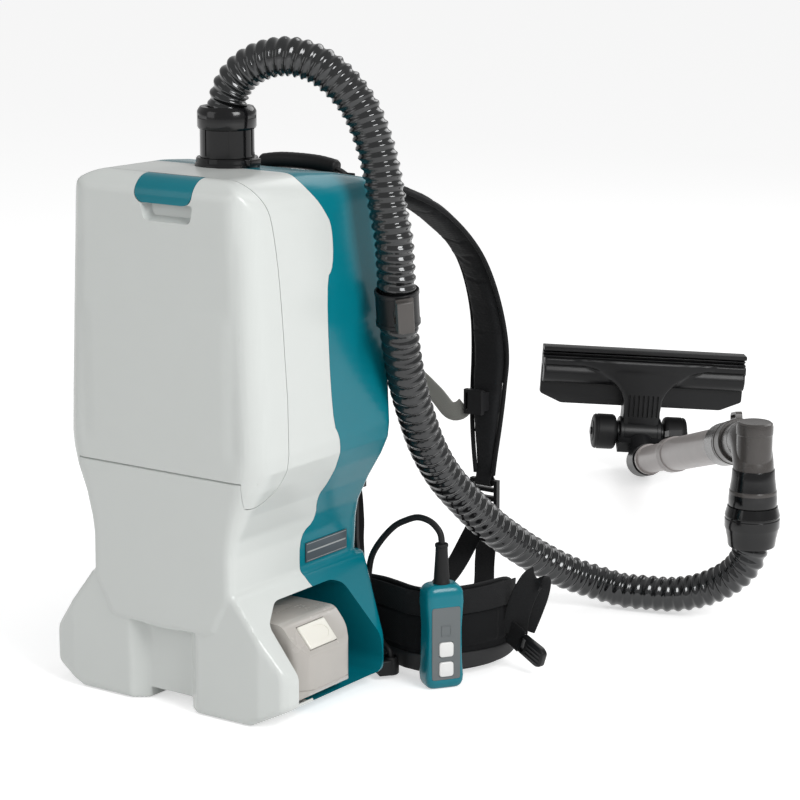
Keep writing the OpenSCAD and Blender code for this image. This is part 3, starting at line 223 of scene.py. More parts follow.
WHITE = material("shell_white", (0.66, 0.685, 0.665), 0.25, vary=0.006, grain=420, bump=0.006, mottle=0.015)
TEAL = material("shell_teal", (0.001, 0.175, 0.225), 0.24, vary=0.05, grain=420, bump=0.006, coat=0.08, specular=0.32,
                mottle=0.02, wear=(0.02, 0.26, 0.32))
BLACK = material("moulded_black", (0.006, 0.0062, 0.0068), 0.34, vary=0.2, grain=1200, bump=0.05, specular=0.32,
                 wear=(0.035, 0.035, 0.037))
GLOSS_BLACK = material("gloss_black", (0.004, 0.004, 0.0045), 0.16, vary=0.1, bump=0.01, coat=0.2, specular=0.35)
RUBBER = material("soft_rubber", (0.008, 0.008, 0.0085), 0.5, vary=0.15, grain=700, bump=0.08, specular=0.3)
HOSE = material("hose_plastic", (0.026, 0.027, 0.028), 0.14, metallic=0.6, vary=0.25, grain=400, bump=0.05, coat=0.6)
FABRIC = material("pad_fabric", (0.007, 0.0073, 0.008), 0.86, vary=0.25, sheen=0.1, weave=1500, specular=0.2)
MESH_FABRIC = material("mesh_fabric", (0.012, 0.0125, 0.0135), 0.8, vary=0.3, sheen=0.12, weave=700, specular=0.2)
WEBBING = material("webbing", (0.008, 0.0083, 0.009), 0.75, vary=0.2, sheen=0.08, weave=1100, specular=0.25)
BUMPER = material("belt_bumper", (0.022, 0.022, 0.023), 0.55, vary=0.12, grain=900, bump=0.1, specular=0.3)
GREY_WEBBING = material("grey_webbing", (0.3, 0.3, 0.275), 0.8, vary=0.1, sheen=0.15, weave=1100)
BATTERY = material("battery_grey", (0.45, 0.425, 0.395), 0.26, vary=0.04, grain=1200, bump=0.03, coat=0.3,
                   wear=(0.52, 0.5, 0.47))
CREAM = material("button_cream", (0.8, 0.78, 0.71), 0.3, vary=0.02, grain=1200, bump=0.03, coat=0.2)
PIPE = material("pipe_grey", (0.34, 0.31, 0.3), 0.42, vary=0.03, grain=500, bump=0.01, coat=0.1)
BENT = material("bent_brown", (0.06, 0.055, 0.052), 0.26, vary=0.15, bump=0.006, coat=0.1, specular=0.35)
SLIDE = material("slide_grey", (0.07, 0.064, 0.06), 0.34, vary=0.1, bump=0.02)
STEEL = material("pin_steel", (0.55, 0.55, 0.56), 0.3, metallic=1.0, vary=0.05, grain=600, bump=0.04)
PANEL = material("panel_grey", (0.13, 0.145, 0.15), 0.36, vary=0.04, bump=0.03)
PLATE = material("plate_grey", (0.08, 0.1, 0.115), 0.3, metallic=0.3, vary=0.08, grain=500, bump=0.04)
STRIPE = material("plate_stripe", (0.4, 0.42, 0.42), 0.35, metallic=0.2, vary=0.05, grain=500, bump=0.03)
KEY_WHITE = material("key_white", (0.8, 0.8, 0.79), 0.3, vary=0.02, bump=0.02)
PAPER = material("filter_paper", (0.72, 0.69, 0.6), 0.9, vary=0.06, grain=260, bump=0.3)
CARD = material("collar_card", (0.42, 0.26, 0.12), 0.85, vary=0.1, grain=500, bump=0.2)
BOARD = material("board_green", (0.012, 0.1, 0.04), 0.45, vary=0.15, grain=300, bump=0.1)
DARK = material("inner_dark", (0.02, 0.021, 0.023), 0.45, vary=0.15, grain=900, bump=0.06)
BRISTLE = material("bristle_red", (0.06, 0.012, 0.014), 0.8, vary=0.4, grain=1600, bump=0.6)

# ------------------------------------------------------------ mesh helpers (lengths in mm)
# A shape is a pair: its points, and its faces as indices of points.


def outwards(mesh):
    """Turns every face outwards."""
    work = bmesh.new()
    work.from_mesh(mesh)
    bmesh.ops.recalc_face_normals(work, faces=work.faces)
    work.to_mesh(mesh)
    work.free()


def mesh_from(name, verts, faces):
    """Mesh from points in mm, with its faces turned outwards."""
    mesh = bpy.data.meshes.new(name)
    mesh.from_pydata([tuple(float(c) * MM for c in v) for v in verts], [], [tuple(f) for f in faces])
    outwards(mesh)
    return mesh


def finish_piece(name, mesh, body, paint, sharp=35, slot=None, replaces=()):
    """Smooth shading up to the sharp angle, one material, and what the piece rides on and replaces."""
    mesh.polygons.foreach_set("use_smooth", [True] * len(mesh.polygons))
    mesh.polygons.foreach_set("material_index", [0] * len(mesh.polygons))
    mesh.materials.clear()
    if sharp:
        mesh.set_sharp_from_angle(angle=math.radians(sharp))
    mesh.materials.append(paint)
    made = linked(name, mesh)
    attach(made, body)
    if replaces:
        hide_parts(*replaces)
    return made


def new_piece(name, shape, body, paint, **more):
    """A piece of the model from a shape, which is its points in mm and its faces."""
    return finish_piece(name, mesh_from(name, *shape), body, paint, **more)


def raw_object(shape):
    """Scratch object from a shape. An object is passed through."""
    return linked("scratch", mesh_from("scratch", *shape)) if isinstance(shape, tuple) else shape


def applied(made):
    """The object's mesh with its modifiers applied; the object keeps only that."""
    bpy.context.view_layer.update()
    graph = bpy.context.evaluated_depsgraph_get()
    mesh = bpy.data.meshes.new_from_object(made.evaluated_get(graph))
    made.modifiers.clear()
    made.data = mesh
    return made


def boolean(target, tools, operation):
    """The tools are shapes or scratch objects, and are used up. So is target's old form."""
    target = raw_object(target)
    for tool in tools:
        tool = raw_object(tool)
        step = target.modifiers.new("cut", "BOOLEAN")
        step.operation = operation
        step.solver = "MANIFOLD"
        step.object = tool
        applied(target)
        bpy.data.objects.remove(tool)
    return target


def cut(target, *tools):
    return boolean(target, tools, "DIFFERENCE")


def union(target, *tools):
    return boolean(target, tools, "UNION")


def common(target, *tools):
    return boolean(target, tools, "INTERSECT")


def copy_of(made):
    return linked(made.name + "_copy", made.data.copy())


def taken(made, name, body, paint, **more):
    """Turns a scratch object into a piece, and removes the scratch object."""
    mesh = made.data.copy()
    mesh.name = name
    bpy.data.objects.remove(made)
    return finish_piece(name, mesh, body, paint, **more)


def in_place(made, matrix):
    """Moves a scratch object by a matrix in mm."""
    made.data.transform(Matrix.Diagonal((MM, MM, MM, 1)) @ matrix @ Matrix.Diagonal((1 / MM, 1 / MM, 1 / MM, 1)))
    return made


def mirror_object(made):
    made.data.transform(Matrix.Diagonal((-1, 1, 1, 1)))
    outwards(made.data)


def softened(made, width, angle=30, segments=3):
    """A shape or scratch object with its sharp edges rounded."""
    made = raw_object(made)
    step = made.modifiers.new("edge", "BEVEL")
    step.width = width * MM
    step.segments = segments
    step.limit_method = "ANGLE"
    step.angle_limit = math.radians(angle)
    step.harden_normals = False
    return applied(made)


def prism(outline, low, high, axis):
    """Solid under a closed outline. axis x: outline is (y, z); y: (x, z); z: (x, y)."""
    n = len(outline)
    place = {"x": lambda a, b, t: (t, a, b), "y": lambda a, b, t: (a, t, b), "z": lambda a, b, t: (a, b, t)}[axis]
    area = sum(outline[i - 1][0] * outline[i][1] - outline[i][0] * outline[i - 1][1] for i in range(n))
    if (area > 0) == (axis == "y"):
        outline = outline[::-1]
    verts = [place(a, b, low) for a, b in outline] + [place(a, b, high) for a, b in outline]
    faces = [tuple(range(n))[::-1], tuple(range(n, 2 * n))]
    faces += [(i, (i + 1) % n, n + (i + 1) % n, n + i) for i in range(n)]
    return verts, faces


def slab(x0, x1, y0, y1, z0, z1):
    return prism([(x0, y0), (x1, y0), (x1, y1), (x0, y1)], z0, z1, "z")


def soft_corners(points, radius, steps=5):
    """Closed outline whose corners are rounded to a radius, as far as their sides allow."""
    out, n = [], len(points)
    for i in range(n):
        a, b, c = (np.array(points[(i + k) % n], float) for k in (-1, 0, 1))
        u, v = a - b, c - b
        r = min(radius, 0.45 * np.linalg.norm(u), 0.45 * np.linalg.norm(v))
        p, q = b + u / np.linalg.norm(u) * r, b + v / np.linalg.norm(v) * r
        for k in range(steps + 1):
            t = k / steps
            out.append(tuple((1 - t) ** 2 * p + 2 * t * (1 - t) * b + t * t * q))
    return out


def soft_rect(half, z0, z1, radius, steps=5):
    """Rectangle with round corners, as wide on both sides of 0."""
    return soft_corners([(-half, z0), (half, z0), (half, z1), (-half, z1)], radius, steps)


def rounded(points):
    """Corner cutting, twice, which turns an open line into a soft one."""
    for _ in range(2):
        out = [tuple(points[0])]
        for a, b in zip(points, points[1:]):
            out.append(tuple(0.75 * p + 0.25 * q for p, q in zip(a, b)))
            out.append(tuple(0.25 * p + 0.75 * q for p, q in zip(a, b)))
        points = out + [tuple(points[-1])]
    return points


def both(points):
    """Closed outline from its right half and that half's mirror."""
    return list(points) + [(-x, y) for x, y in reversed(points)]


def grown(outline, g):
    """Closed outline moved out by g along its corners."""
    pts = [np.array(p, float) for p in outline]
    n = len(pts)
    area = sum(pts[i - 1][0] * pts[i][1] - pts[i][0] * pts[i - 1][1] for i in range(n))
    out = []
    for i in range(n):
        d0, d1 = pts[i] - pts[i - 1], pts[(i + 1) % n] - pts[i]
        n0 = np.array([d0[1], -d0[0]]) / np.linalg.norm(d0)
        n1 = np.array([d1[1], -d1[0]]) / np.linalg.norm(d1)
        m = n0 + n1
        out.append(tuple(pts[i] + (g if area > 0 else -g) * m * 2 / max(0.5, np.dot(m, m))))
    return out


def arc_points(cx, cz, r, a0, a1, n=8):
    angles = [math.radians(a0 + (a1 - a0) * i / n) for i in range(n + 1)]
    return [(cx + r * math.cos(a), cz + r * math.sin(a)) for a in angles]


def catmull(points, n):
    """Smooth curve through the points, in n steps between each two."""
    pts = [np.array(p, float) for p in points]
    out = []
    for i in range(len(pts) - 1):
        a, b, c, d = pts[max(i - 1, 0)], pts[i], pts[i + 1], pts[min(i + 2, len(pts) - 1)]
        for k in range(n):
            t = k / n
            out.append(0.5 * (2 * b + (c - a) * t + (2 * a - 5 * b + 4 * c - d) * t * t
                              + (3 * b - a - 3 * c + d) * t ** 3))
    out.append(pts[-1])
    return np.array(out)


def evenly(path, count):
    """The path in count equal steps, and its length."""
    path = np.array(path, float)
    s = np.concatenate([[0], np.cumsum(np.linalg.norm(np.diff(path, axis=0), axis=1))])
    marks = np.linspace(0, s[-1], count + 1)
    return np.stack([np.interp(marks, s, path[:, k]) for k in range(3)], 1), s[-1]


def tangents(path):
    t = np.gradient(path, axis=0)
    return t / np.linalg.norm(t, axis=1)[:, None]


def square_to(way, v):
    """Unit vector along the part of v that is at right angles to way."""
    v = v - np.dot(v, way) * way
    return v / np.linalg.norm(v)


def frames_along(path, first):
    """Side and up vectors carried along a path without twist."""
    path = np.array(path, float)
    t = tangents(path)
    sides, v = [], np.array(first, float)
    for k in range(len(path)):
        v = square_to(t[k], v)
        sides.append(v)
    return np.array(sides), np.cross(t, sides)


def skin(rings, closed=False):
    """Faces through rings of equal length. The ends are closed, or the last ring meets the first."""
    n, m = len(rings[0]), len(rings)
    verts = [p for r in rings for p in r]
    faces = []
    for j in range(m if closed else m - 1):
        for i in range(n):
            a, b = j * n + i, j * n + (i + 1) % n
            c, d = ((j + 1) % m) * n + (i + 1) % n, ((j + 1) % m) * n + i
            faces.append((a, b, c, d))
    if not closed:
        faces.append(tuple(range(n))[::-1])
        faces.append(tuple(range((m - 1) * n, m * n)))
    return verts, faces


def facing(shape):
    """The shape with its faces turned outwards."""
    verts, faces = shape
    made = bmesh.new()
    points = [made.verts.new(v) for v in verts]
    for f in faces:
        made.faces.new([points[i] for i in f])
    bmesh.ops.recalc_face_normals(made, faces=made.faces)
    made.verts.index_update()
    out = [v.co.copy() for v in made.verts], [[v.index for v in f.verts] for f in made.faces]
    made.free()
    return out


def sweep(path, section, first=(0, 0, 1)):
    """section(t) gives (side, up) offsets round the path, t from 0 to 1."""
    side, up = frames_along(path, first)
    return skin([[p + a * side[k] + b * up[k] for a, b in section(k / (len(path) - 1))]
                 for k, p in enumerate(path)])


def turn_of(n):
    """n angles, evenly round a full turn."""
    return [2 * math.pi * i / n for i in range(n)]


def circle(r, n):
    """Section for a round sweep."""
    points = [(r * math.cos(a), r * math.sin(a)) for a in turn_of(n)]
    return lambda t: points


def squared(angle, a, b, p, q):
    """Point of a closed curve with half sizes a and b, which powers p and q under 1 make squarer."""
    c, s = math.cos(angle), math.sin(angle)
    return a * math.copysign(abs(c) ** p, c), b * math.copysign(abs(s) ** q, s)


def lathe(profile, origin=(0, 0, 0), axis=(0, 0, 1), segments=64, closed=False):
    """profile is (radius, distance along the axis), turned round the axis."""
    axis = Vector(axis).normalized()
    side = axis.orthogonal().normalized()
    up = axis.cross(side)
    origin = Vector(origin)
    angles = turn_of(segments)
    return skin([[tuple(origin + axis * h + (side * math.cos(a) + up * math.sin(a)) * max(r, 0.001))
                  for a in angles] for r, h in profile], closed)


def soft_box(size, radius):
    """Box with rounded edges, centred at the origin."""
    mesh = bmesh.new()
    bmesh.ops.create_cube(mesh, size=1)
    bmesh.ops.scale(mesh, vec=size, verts=mesh.verts)
    bmesh.ops.bevel(mesh, geom=list(mesh.edges), offset=radius, segments=3, profile=0.5, affect="EDGES")
    mesh.verts.index_update()
    verts = [v.co.copy() for v in mesh.verts]
    faces = [[v.index for v in f.verts] for f in mesh.faces]
    mesh.free()
    return verts, faces


def spun(degrees, axis):
    return Matrix.Rotation(math.radians(degrees), 4, axis)


def shifted(x, y, z):
    return Matrix.Translation((x, y, z))


def moved(shape, matrix):
    verts, faces = shape
    return [matrix @ Vector(v) for v in verts], faces


def joined(*shapes):
    verts, faces = [], []
    for v, f in shapes:
        base = len(verts)
        verts += list(v)
        faces += [tuple(i + base for i in one) for one in f]
    return verts, faces


def mirrored(shape):
    verts, faces = shape
    return [(-v[0], v[1], v[2]) for v in verts], [tuple(f)[::-1] for f in faces]


def both_x(shape):
    return [shape, mirrored(shape)]


def on_side(shape, side):
    """The shape, or its mirror for the left side."""
    return mirrored(shape) if side < 0 else shape


def around(shape, count, first):
    """count copies of a shape, evenly round Z from an angle in degrees."""
    return [moved(shape, spun(first + 360 // count * k, "Z")) for k in range(count)]


# ------------------------------------------------------------ smooth solids from distance fields


def smax(a, b, k):
    h = np.clip(0.5 + 0.5 * (a - b) / k, 0, 1)
    return b + (a - b) * h + k * h * (1 - h)


def smin(a, b, k):
    return -smax(-a, -b, k)


def polygon_distance(x, y, points):
    d = np.full(x.shape, 1e12)
    sign = np.ones(x.shape)
    for i in range(len(points)):
        ax, ay = points[i]
        bx, by = points[i - 1]
        ex, ey, wx, wy = bx - ax, by - ay, x - ax, y - ay
        t = np.clip((wx * ex + wy * ey) / (ex * ex + ey * ey + 1e-12), 0, 1)
        d = np.minimum(d, (wx - ex * t) ** 2 + (wy - ey * t) ** 2)
        c1, c2, c3 = y >= ay, y < by, ex * wy > ey * wx
        sign = np.where((c1 & c2 & c3) | (~c1 & ~c2 & ~c3), -sign, sign)
    return sign * np.sqrt(d)


def inset(points, r):
    """Convex polygon moved in by r on every side."""
    n = len(points)
    if sum(points[i - 1][0] * points[i][1] - points[i][0] * points[i - 1][1] for i in range(n)) < 0:
        points = points[::-1]
    lines = []
    for i in range(n):
        a, b = np.array(points[i], float), np.array(points[(i + 1) % n], float)
        d = (b - a) / np.linalg.norm(b - a)
        normal = np.array([-d[1], d[0]])
        lines.append((a + normal * r, d))
    out = []
    for i in range(n):
        (p, d), (q, e) = lines[i - 1], lines[i]
        s = np.cross(q - p, e) / np.cross(d, e)
        out.append(tuple(p + d * s))
    return out


def round_distance(x, y, points, r):
    return polygon_distance(x, y, inset(points, r)) - r


def surface_nets(field, xs, ys, zs, level):
    """Closed quad mesh of the surface where the field equals level."""
    g = (field - level).astype(np.float32)
    inside = g < 0
    step = np.array([xs[1] - xs[0], ys[1] - ys[0], zs[1] - zs[0]])
    nx, ny, nz = g.shape
    corners = [(a, b, c) for a in (0, 1) for b in (0, 1) for c in (0, 1)]
    count = sum(inside[i:nx - 1 + i, j:ny - 1 + j, k:nz - 1 + k].astype(np.int8) for i, j, k in corners)
    active = (count > 0) & (count < 8)
    index = np.full(active.shape, -1, np.int64)
    index[active] = np.arange(active.sum())
    i, j, k = np.nonzero(active)
    total, seen = np.zeros((len(i), 3)), np.zeros(len(i))
    for p in corners:
        for q in corners:
            if sum(abs(u - v) for u, v in zip(p, q)) != 1 or p > q:
                continue
            a, b = g[i + p[0], j + p[1], k + p[2]], g[i + q[0], j + q[1], k + q[2]]
            cross = (a < 0) != (b < 0)
            t = np.where(cross, a / np.where(cross, a - b, 1), 0)
            for n in range(3):
                total[:, n] += np.where(cross, p[n] + t * (q[n] - p[n]), 0)
            seen += cross
    verts = np.array([xs[0], ys[0], zs[0]]) + step * (np.stack([i, j, k], 1) + total / seen[:, None])
    faces = []
    for axis in range(3):
        low, high = [slice(1, -1)] * 3, [slice(1, -1)] * 3
        low[axis], high[axis] = slice(0, -1), slice(1, None)
        a, b = inside[tuple(low)], inside[tuple(high)]
        cell = list(np.nonzero(a != b))
        out = a[tuple(cell)]
        for n in range(3):
            if n != axis:
                cell[n] = cell[n] + 1
        u, v = (axis + 1) % 3, (axis + 2) % 3
        ring = []
        for du, dv in ((-1, -1), (0, -1), (0, 0), (-1, 0)):
            c = [part.copy() for part in cell]
            c[u] += du
            c[v] += dv
            ring.append(index[c[0], c[1], c[2]])
        quad = np.stack(ring, 1)
        quad[~out] = quad[~out][:, ::-1]
        faces.append(quad)
    return verts, np.concatenate(faces)


# ------------------------------------------------------------ cords: suction hose and handset cable

HOSE_ROUTE = [
    (0, 0, 527), (0, 0, 547), (0, 0, 565), (5, 2, 584), (17, 6, 600), (36, 12, 611), (60, 20, 615), (85, 30, 608),
    (106, 39, 591), (122, 47, 568), (133, 52, 540), (140, 56, 510), (145, 59, 475), (149, 63, 445), (148, 68, 415),
    (146, 73, 385), (144, 79, 355), (140, 90, 328), (134, 108, 295), (127, 133, 258), (121, 162, 219), (118, 196, 182),
    (118, 236, 147), (121, 278, 113), (128, 320, 83), (138, 354, 60), (153, 386, 40), (175, 410, 27), (200, 422, 20),
    (226, 429, 20), (252, 436, 21), (277, 442, 27), (300, 447, 38), (320, 449, 53), (333, 450, 72), (337, 450, 92),
    (337, 450, 110), (337, 450, 130)]
HOSE_R = 19.0
# Depth of the hose's surface through one rib
RIB = [0.0, -0.08, -0.65, -1.9, -2.35, -2.35, -1.9, -0.65]
# Distance along the hose, and the ribs' pitch there
HOSE_STRETCH = [(0, 9.0), (240, 9.4), (375, 10.1), (510, 12.2), (600, 13.2), (780, 13.2), (900, 12.0), (1010, 11.0),
                (1100, 10.2), (1200, 10.0)]
CABLE_ROUTE = [
    (182.4, 96.4, 136.5), (182.4, 96.4, 147), (179.5, 96.5, 156), (169, 96.8, 164), (154, 97, 166), (139, 97, 160.5),
    (125, 97.2, 152), (108.5, 98.5, 135), (96, 100.5, 116.5), (90.5, 102.5, 95.5), (90.5, 102.5, 79), (97, 98, 60),
    (106, 92.5, 43.5), (118, 88.5, 33), (126, 87.1, 27.5), (128, 87, 20), (128, 87, 9.5)]
CABLE_D = 6.4


def hose_piece():
    """Corrugated hose: one rib profile every pitch, wound as a slow helix. Returns its length too."""
    fine = np.array(catmull(HOSE_ROUTE, 12))
    along = np.concatenate([[0], np.cumsum(np.linalg.norm(np.diff(fine, axis=0), axis=1))])
    pitch = np.interp(along, *zip(*HOSE_STRETCH))
    turns = np.concatenate([[0], np.cumsum(np.diff(along) * 2 / (pitch[1:] + pitch[:-1]))])
    steps = len(RIB)
    marks = np.interp(np.linspace(0, turns[-1], int(round(turns[-1])) * steps + 1), turns, along)
    path = np.array([np.interp(marks, along, fine[:, c]) for c in range(3)]).T
    side, up = frames_along(path, X_AXIS)
    angles = np.linspace(0, 2 * np.pi, 40, endpoint=False)
    rings = []
    for k, p in enumerate(path):
        phase = (k + angles / (2 * np.pi) * steps) % steps
        r = HOSE_R - 0.05 + np.interp(phase, np.arange(steps + 1), RIB + RIB[:1])
        rings.append(p + np.outer(r * np.cos(angles), side[k]) + np.outer(r * np.sin(angles), up[k]))
    made = new_piece("suction_hose", skin(rings), "root", HOSE, sharp=0, slot="hose_plastic", replaces=("hose",))
    return made, along[-1]


def cable_piece():
    """The handset's cable, and its length."""
    path, length = evenly(catmull(CABLE_ROUTE, 8), 150)
    shape = sweep(path, circle(CABLE_D / 2, 20), X_AXIS)
    made = new_piece("handset_lead", shape, "root", RUBBER, sharp=0, slot="rubber", replaces=("handset_cable",))
    return made, length


def relief_shape():
    """Smooth, tapered strain relief on top of the handset, with a lip round its end."""
    profile = [(0, 0), (8.3, 0), (8.3, 1.4), (7.8, 2.4), (7.5, 9), (6.8, 20), (6.1, 32), (6.0, 36.4), (6.6, 37.1),
               (6.6, 39.3), (6.1, 40.0), (4.3, 40.0), (3.35, 31.2), (0.0, 31.2)]
    return lathe(profile, (182.4, 96.4, 104.4), segments=40)


def gland_shape():
    """Where the cable goes into the machine: a post on a block."""
    profile = [(0, 4.1), (7.6, 4.1), (8.5, 5.2), (8.5, 15), (7.9, 16.2), (7.0, 22), (6.0, 22), (3.4, 8.4), (0, 8.4)]
    block = moved(soft_box((14.2, 17.8, 15.6), 1.6), shifted(128, 87, 12) @ spun(52.5, "Z") @ shifted(-7.2, 0, 0))
    return joined(lathe(profile, (128, 87, 0), segments=40), block)


hose, hose_length = hose_piece()
cable, cable_length = cable_piece()
new_piece("cable_reliefs", joined(relief_shape(), gland_shape()), "root", RUBBER, slot="rubber",
          replaces=("cable_fittings",))

# ------------------------------------------------------------ shell

FRONT, BACK, TOP, WALL = -112.0, 105.0, 514.0, 3.0
# Where the white front housing meets the teal rear one, as (y, z)
JOINT_LINE = [(-47, -1), (-47, 60), (3, 103), (-4, 120), (-4, 160), (21, 172), (10, 196), (20, 212), (19, 254),
              (5, 276), (6, 410), (19, 420), (20, 460), (8, 476), (-12, 500), (-12, 515)]
# The lid's lower edge, the tops of the two inner floors, and the rim round the bag's opening
SEAM_Z = 234.0
FLOOR_Z, SHELF_Z = 228.0, 120.0
RIM_Y = -58.0
# A battery bay as (y, z), and how far from the middle its floor lies
BAY = [(-85, 14), (50, 14), (57, 30), (44, 104), (30, 110), (-60, 110), (-85, 94)]
BAY_X = 35.0
# Axis of the lid's hinge as (y, z), and where the lid's ears begin
HINGE = (-106.0, 226.0)
EAR_X = 98.5
# Screw bosses of the rear housing as (x, z)
BOSSES = [(110.5, 300.0), (103.3, 440.0)]
# The latch's middle, half width and lower edge
LATCH_X, LATCH_HALF, LATCH_Z = 12.0, 34.0, 487.0
# Cell of the grid for the shell's distance field
GRID = 2.5


def body_field(xs, ys, zs):
    """Distance to the shell's outer face, for x of 0 and up."""
    x, y, z = xs[:, None, None], ys[None, :, None], zs[None, None, :]
    half = np.interp(zs, [60, 122, 160, 176, 200, 225, 242, 256, 300, 400, 514],
                     [86, 86, 86.5, 89, 98.5, 112, 118.5, 120, 118.2, 113, 107])[None, None, :]
    front_r = np.interp(zs, [122, 176, 200, 242], [10, 12, 18, 28])[None, None, :]
    back_r = np.interp(zs, [122, 176, 200, 242], [31, 26, 20, 12])[None, None, :]
    r = np.where(y < 0, front_r, back_r)
    gx, gz = np.meshgrid(xs, zs, indexing="ij")
    # The front face is a little proud round a shallow dish in the lid
    lower = np.interp(gz, [378, 392], [1, 0]) * np.interp(gx, [78, 90], [1, 0])
    upper_edge = np.interp(gx, [92, 104], [1, 0]) * np.interp(gz, [248, 262, 448, 474], [0, 1, 1, 0])
    dish = np.where(y < -60, 1.9, 0) * (upper_edge * (1 - lower))[:, None, :]
    qx, qy = x - half + r, np.abs(y) - np.where(y < 0, -FRONT, BACK) + r + dish
    plan = np.minimum(np.maximum(qx, qy), 0) + np.hypot(np.maximum(qx, 0), np.maximum(qy, 0)) - r
    # The top's round edges, first from the front and then from the side
    ex, ez = gx - half[0] + 38, gz - 474.8
    top = (np.minimum(np.maximum(ex, ez), 0) + np.hypot(np.maximum(ex, 0), np.maximum(ez, 0)) - 38)[:, None, :]
    side_line = ([(FRONT, -60)] + arc_points(-88, 489, 24, 180, 90) + [(0, 510.5), (50, 505)]
                 + arc_points(81, 474, 24, 72, 0) + [(BACK, -60)])
    side = polygon_distance(*np.meshgrid(ys, zs, indexing="ij"), side_line)[None, :, :]
    upper = smax(smax(plan, top, 3), side, 3)
    lip_line = both([(0, 78.8), (40, 80.2), (56, 81.6), (63, 85), (68, 95), (76, 110), (86, 123), (86, 124), (240, 124),
                     (240, 700), (0, 700)])
    upper = smax(upper, polygon_distance(gx, gz, lip_line)[:, None, :], 1.5)
    # The base, cut by a wedge and a slot under the middle of its front
    base = round_distance(gx, gz, both([(103, 0), (146, 21), (146, 49), (88, 122)]), 9)[:, None, :]
    gx2, gy2 = np.meshgrid(xs, ys, indexing="ij")
    plan_line = both([(115, -109.5), (138, -104), (144, -97), (146, -88), (146, 0), (140, 59), (80, BACK)])
    base = smax(base, round_distance(gx2, gy2, plan_line, 4)[:, :, None], 5)
    wedge = polygon_distance(gx2, gy2, both([(40, -130), (40, -108.5), (26, -97)]))[:, :, None]
    slot = np.maximum(np.maximum(x - 26, -y - 140), np.maximum(y + 67, z - 10))
    base = smax(base, -np.maximum(wedge, z - 90), 2)
    base = smax(base, -slot, 1.5)
    return smin(upper, base, 1 + 9 * np.clip((x - 80) / 14, 0, 1))


def shell_surfaces():
    """The shell's outer and inner face, as scratch objects."""
    half = np.arange(0, 156, GRID)
    ys, zs = np.arange(-122, 116, GRID), np.arange(-8, 526, GRID)
    field = body_field(half, ys, zs)
    field = np.concatenate([field[:0:-1], field])
    xs = np.concatenate([-half[:0:-1], half])
    return [raw_object(surface_nets(field, xs, ys, zs, level)) for level in (0.0, -WALL)]


def seam_line(g):
    """The lid's edge in side view, moved out by g: five points down its back, then the arc round its hinge."""
    return ([(-91 + g, TOP + 2), (-79 + g, 495), (-70 + g, 467), (-64 + g, 411), (-62 + g, 307)]
            + arc_points(-100, 245, 36 + g, 0, -100, 16))


def lid_region(g):
    """Three prisms that hold what moves with the lid."""
    edge = rounded(seam_line(g)[:5])
    ear = edge + seam_line(g)[5:] + [(-200, 209 - g), (-200, TOP + 4)]
    middle = edge + [(-64 + g, SEAM_Z - g), (-200, SEAM_Z - g), (-200, TOP + 4)]
    return [prism(ear, -180, -EAR_X + g / 2, "x"), prism(ear, EAR_X - g / 2, 180, "x"), prism(middle, -99, 99, "x")]


def rear_region(g):
    """Prism behind the joint of the two housings."""
    return prism([(y + g, z) for y, z in rounded(JOINT_LINE)] + [(200, 520), (200, -5)], -180, 180, "x")


def cylinder_y(x, z, r, y0, y1, n=32):
    return lathe([(r, 0), (r, y1 - y0)], (x, y0, z), (0, 1, 0), n)


def hinge_lathe(profile, n=24, way=1):
    """Turned shape on the axis of the lid's hinge."""
    return lathe(profile, (0, *HINGE), (way, 0, 0), n)


def build_shell():
    """Rear and front housing, hollow, with floors, battery bays and screw bosses."""
    bay_line = soft_corners(BAY, 6)
    hollow = copy_of(inner)
    fills = [slab(-200, 200, -200, 200, z - WALL, z) for z in (FLOOR_Z, SHELF_Z)]
    fills += both_x(prism(grown(bay_line, WALL), BAY_X - WALL, 160, "x"))
    for x, z in BOSSES:
        fills += both_x(cylinder_y(x, z, 5.5, -20, 140))
    cut(hollow, *fills)
    whole = cut(copy_of(outer), hollow)
    cuts = both_x(prism(bay_line, BAY_X, 160, "x"))
    cuts += [lathe([(r, z - WALL - 1), (r, z + 1)], (0, 8, 0)) for r, z in ((44, FLOOR_Z), (30, SHELF_Z))]
    cuts.append(lathe([(26.1, 484), (26.1, 507), (31.3, 507), (31.3, 530)], segments=96))
    for x, z in BOSSES:
        cuts += both_x(cylinder_y(x, z, 4.6, BACK - 8, BACK + 8)) + both_x(cylinder_y(x, z, 2.1, -21, BACK + 8, 20))
    cut(whole, *cuts)
    rear = common(copy_of(whole), rear_region(0.0))
    front = cut(whole, rear_region(-0.5), *lid_region(0.4))
    edge = cut(slab(-EAR_X, EAR_X, -114, HINGE[0], HINGE[1], HINGE[1] + 10), hinge_lathe([(8.0, -120), (8.0, 120)], 96))
    return rear, cut(front, edge)


def add_front_details(front):
    """Rim round the bag's opening, hinge bosses, and the windows behind the exhaust grilles."""
    rim = cut(slab(-200, 200, RIM_Y, RIM_Y + 3, 236, 640),
              prism(both([(0, 234), (93, 234), (93, 474), (60, 486), (0, 486)]), RIM_Y - 2, RIM_Y + 6, "y"))
    union(front, common(rim, copy_of(inner)))
    for shape in both_x(hinge_lathe([(6.5, 84), (6.5, 97.6)], 32)):
        union(front, common(shape, copy_of(outer)))
    window = moved(slab(8, 38, 0, 40, -6, 12), shifted(103, -92, 0) @ spun(-26.03, "Y"))
    cut(front, *both_x(window), *both_x(hinge_lathe([(3.05, 85), (3.05, 98.4)])))


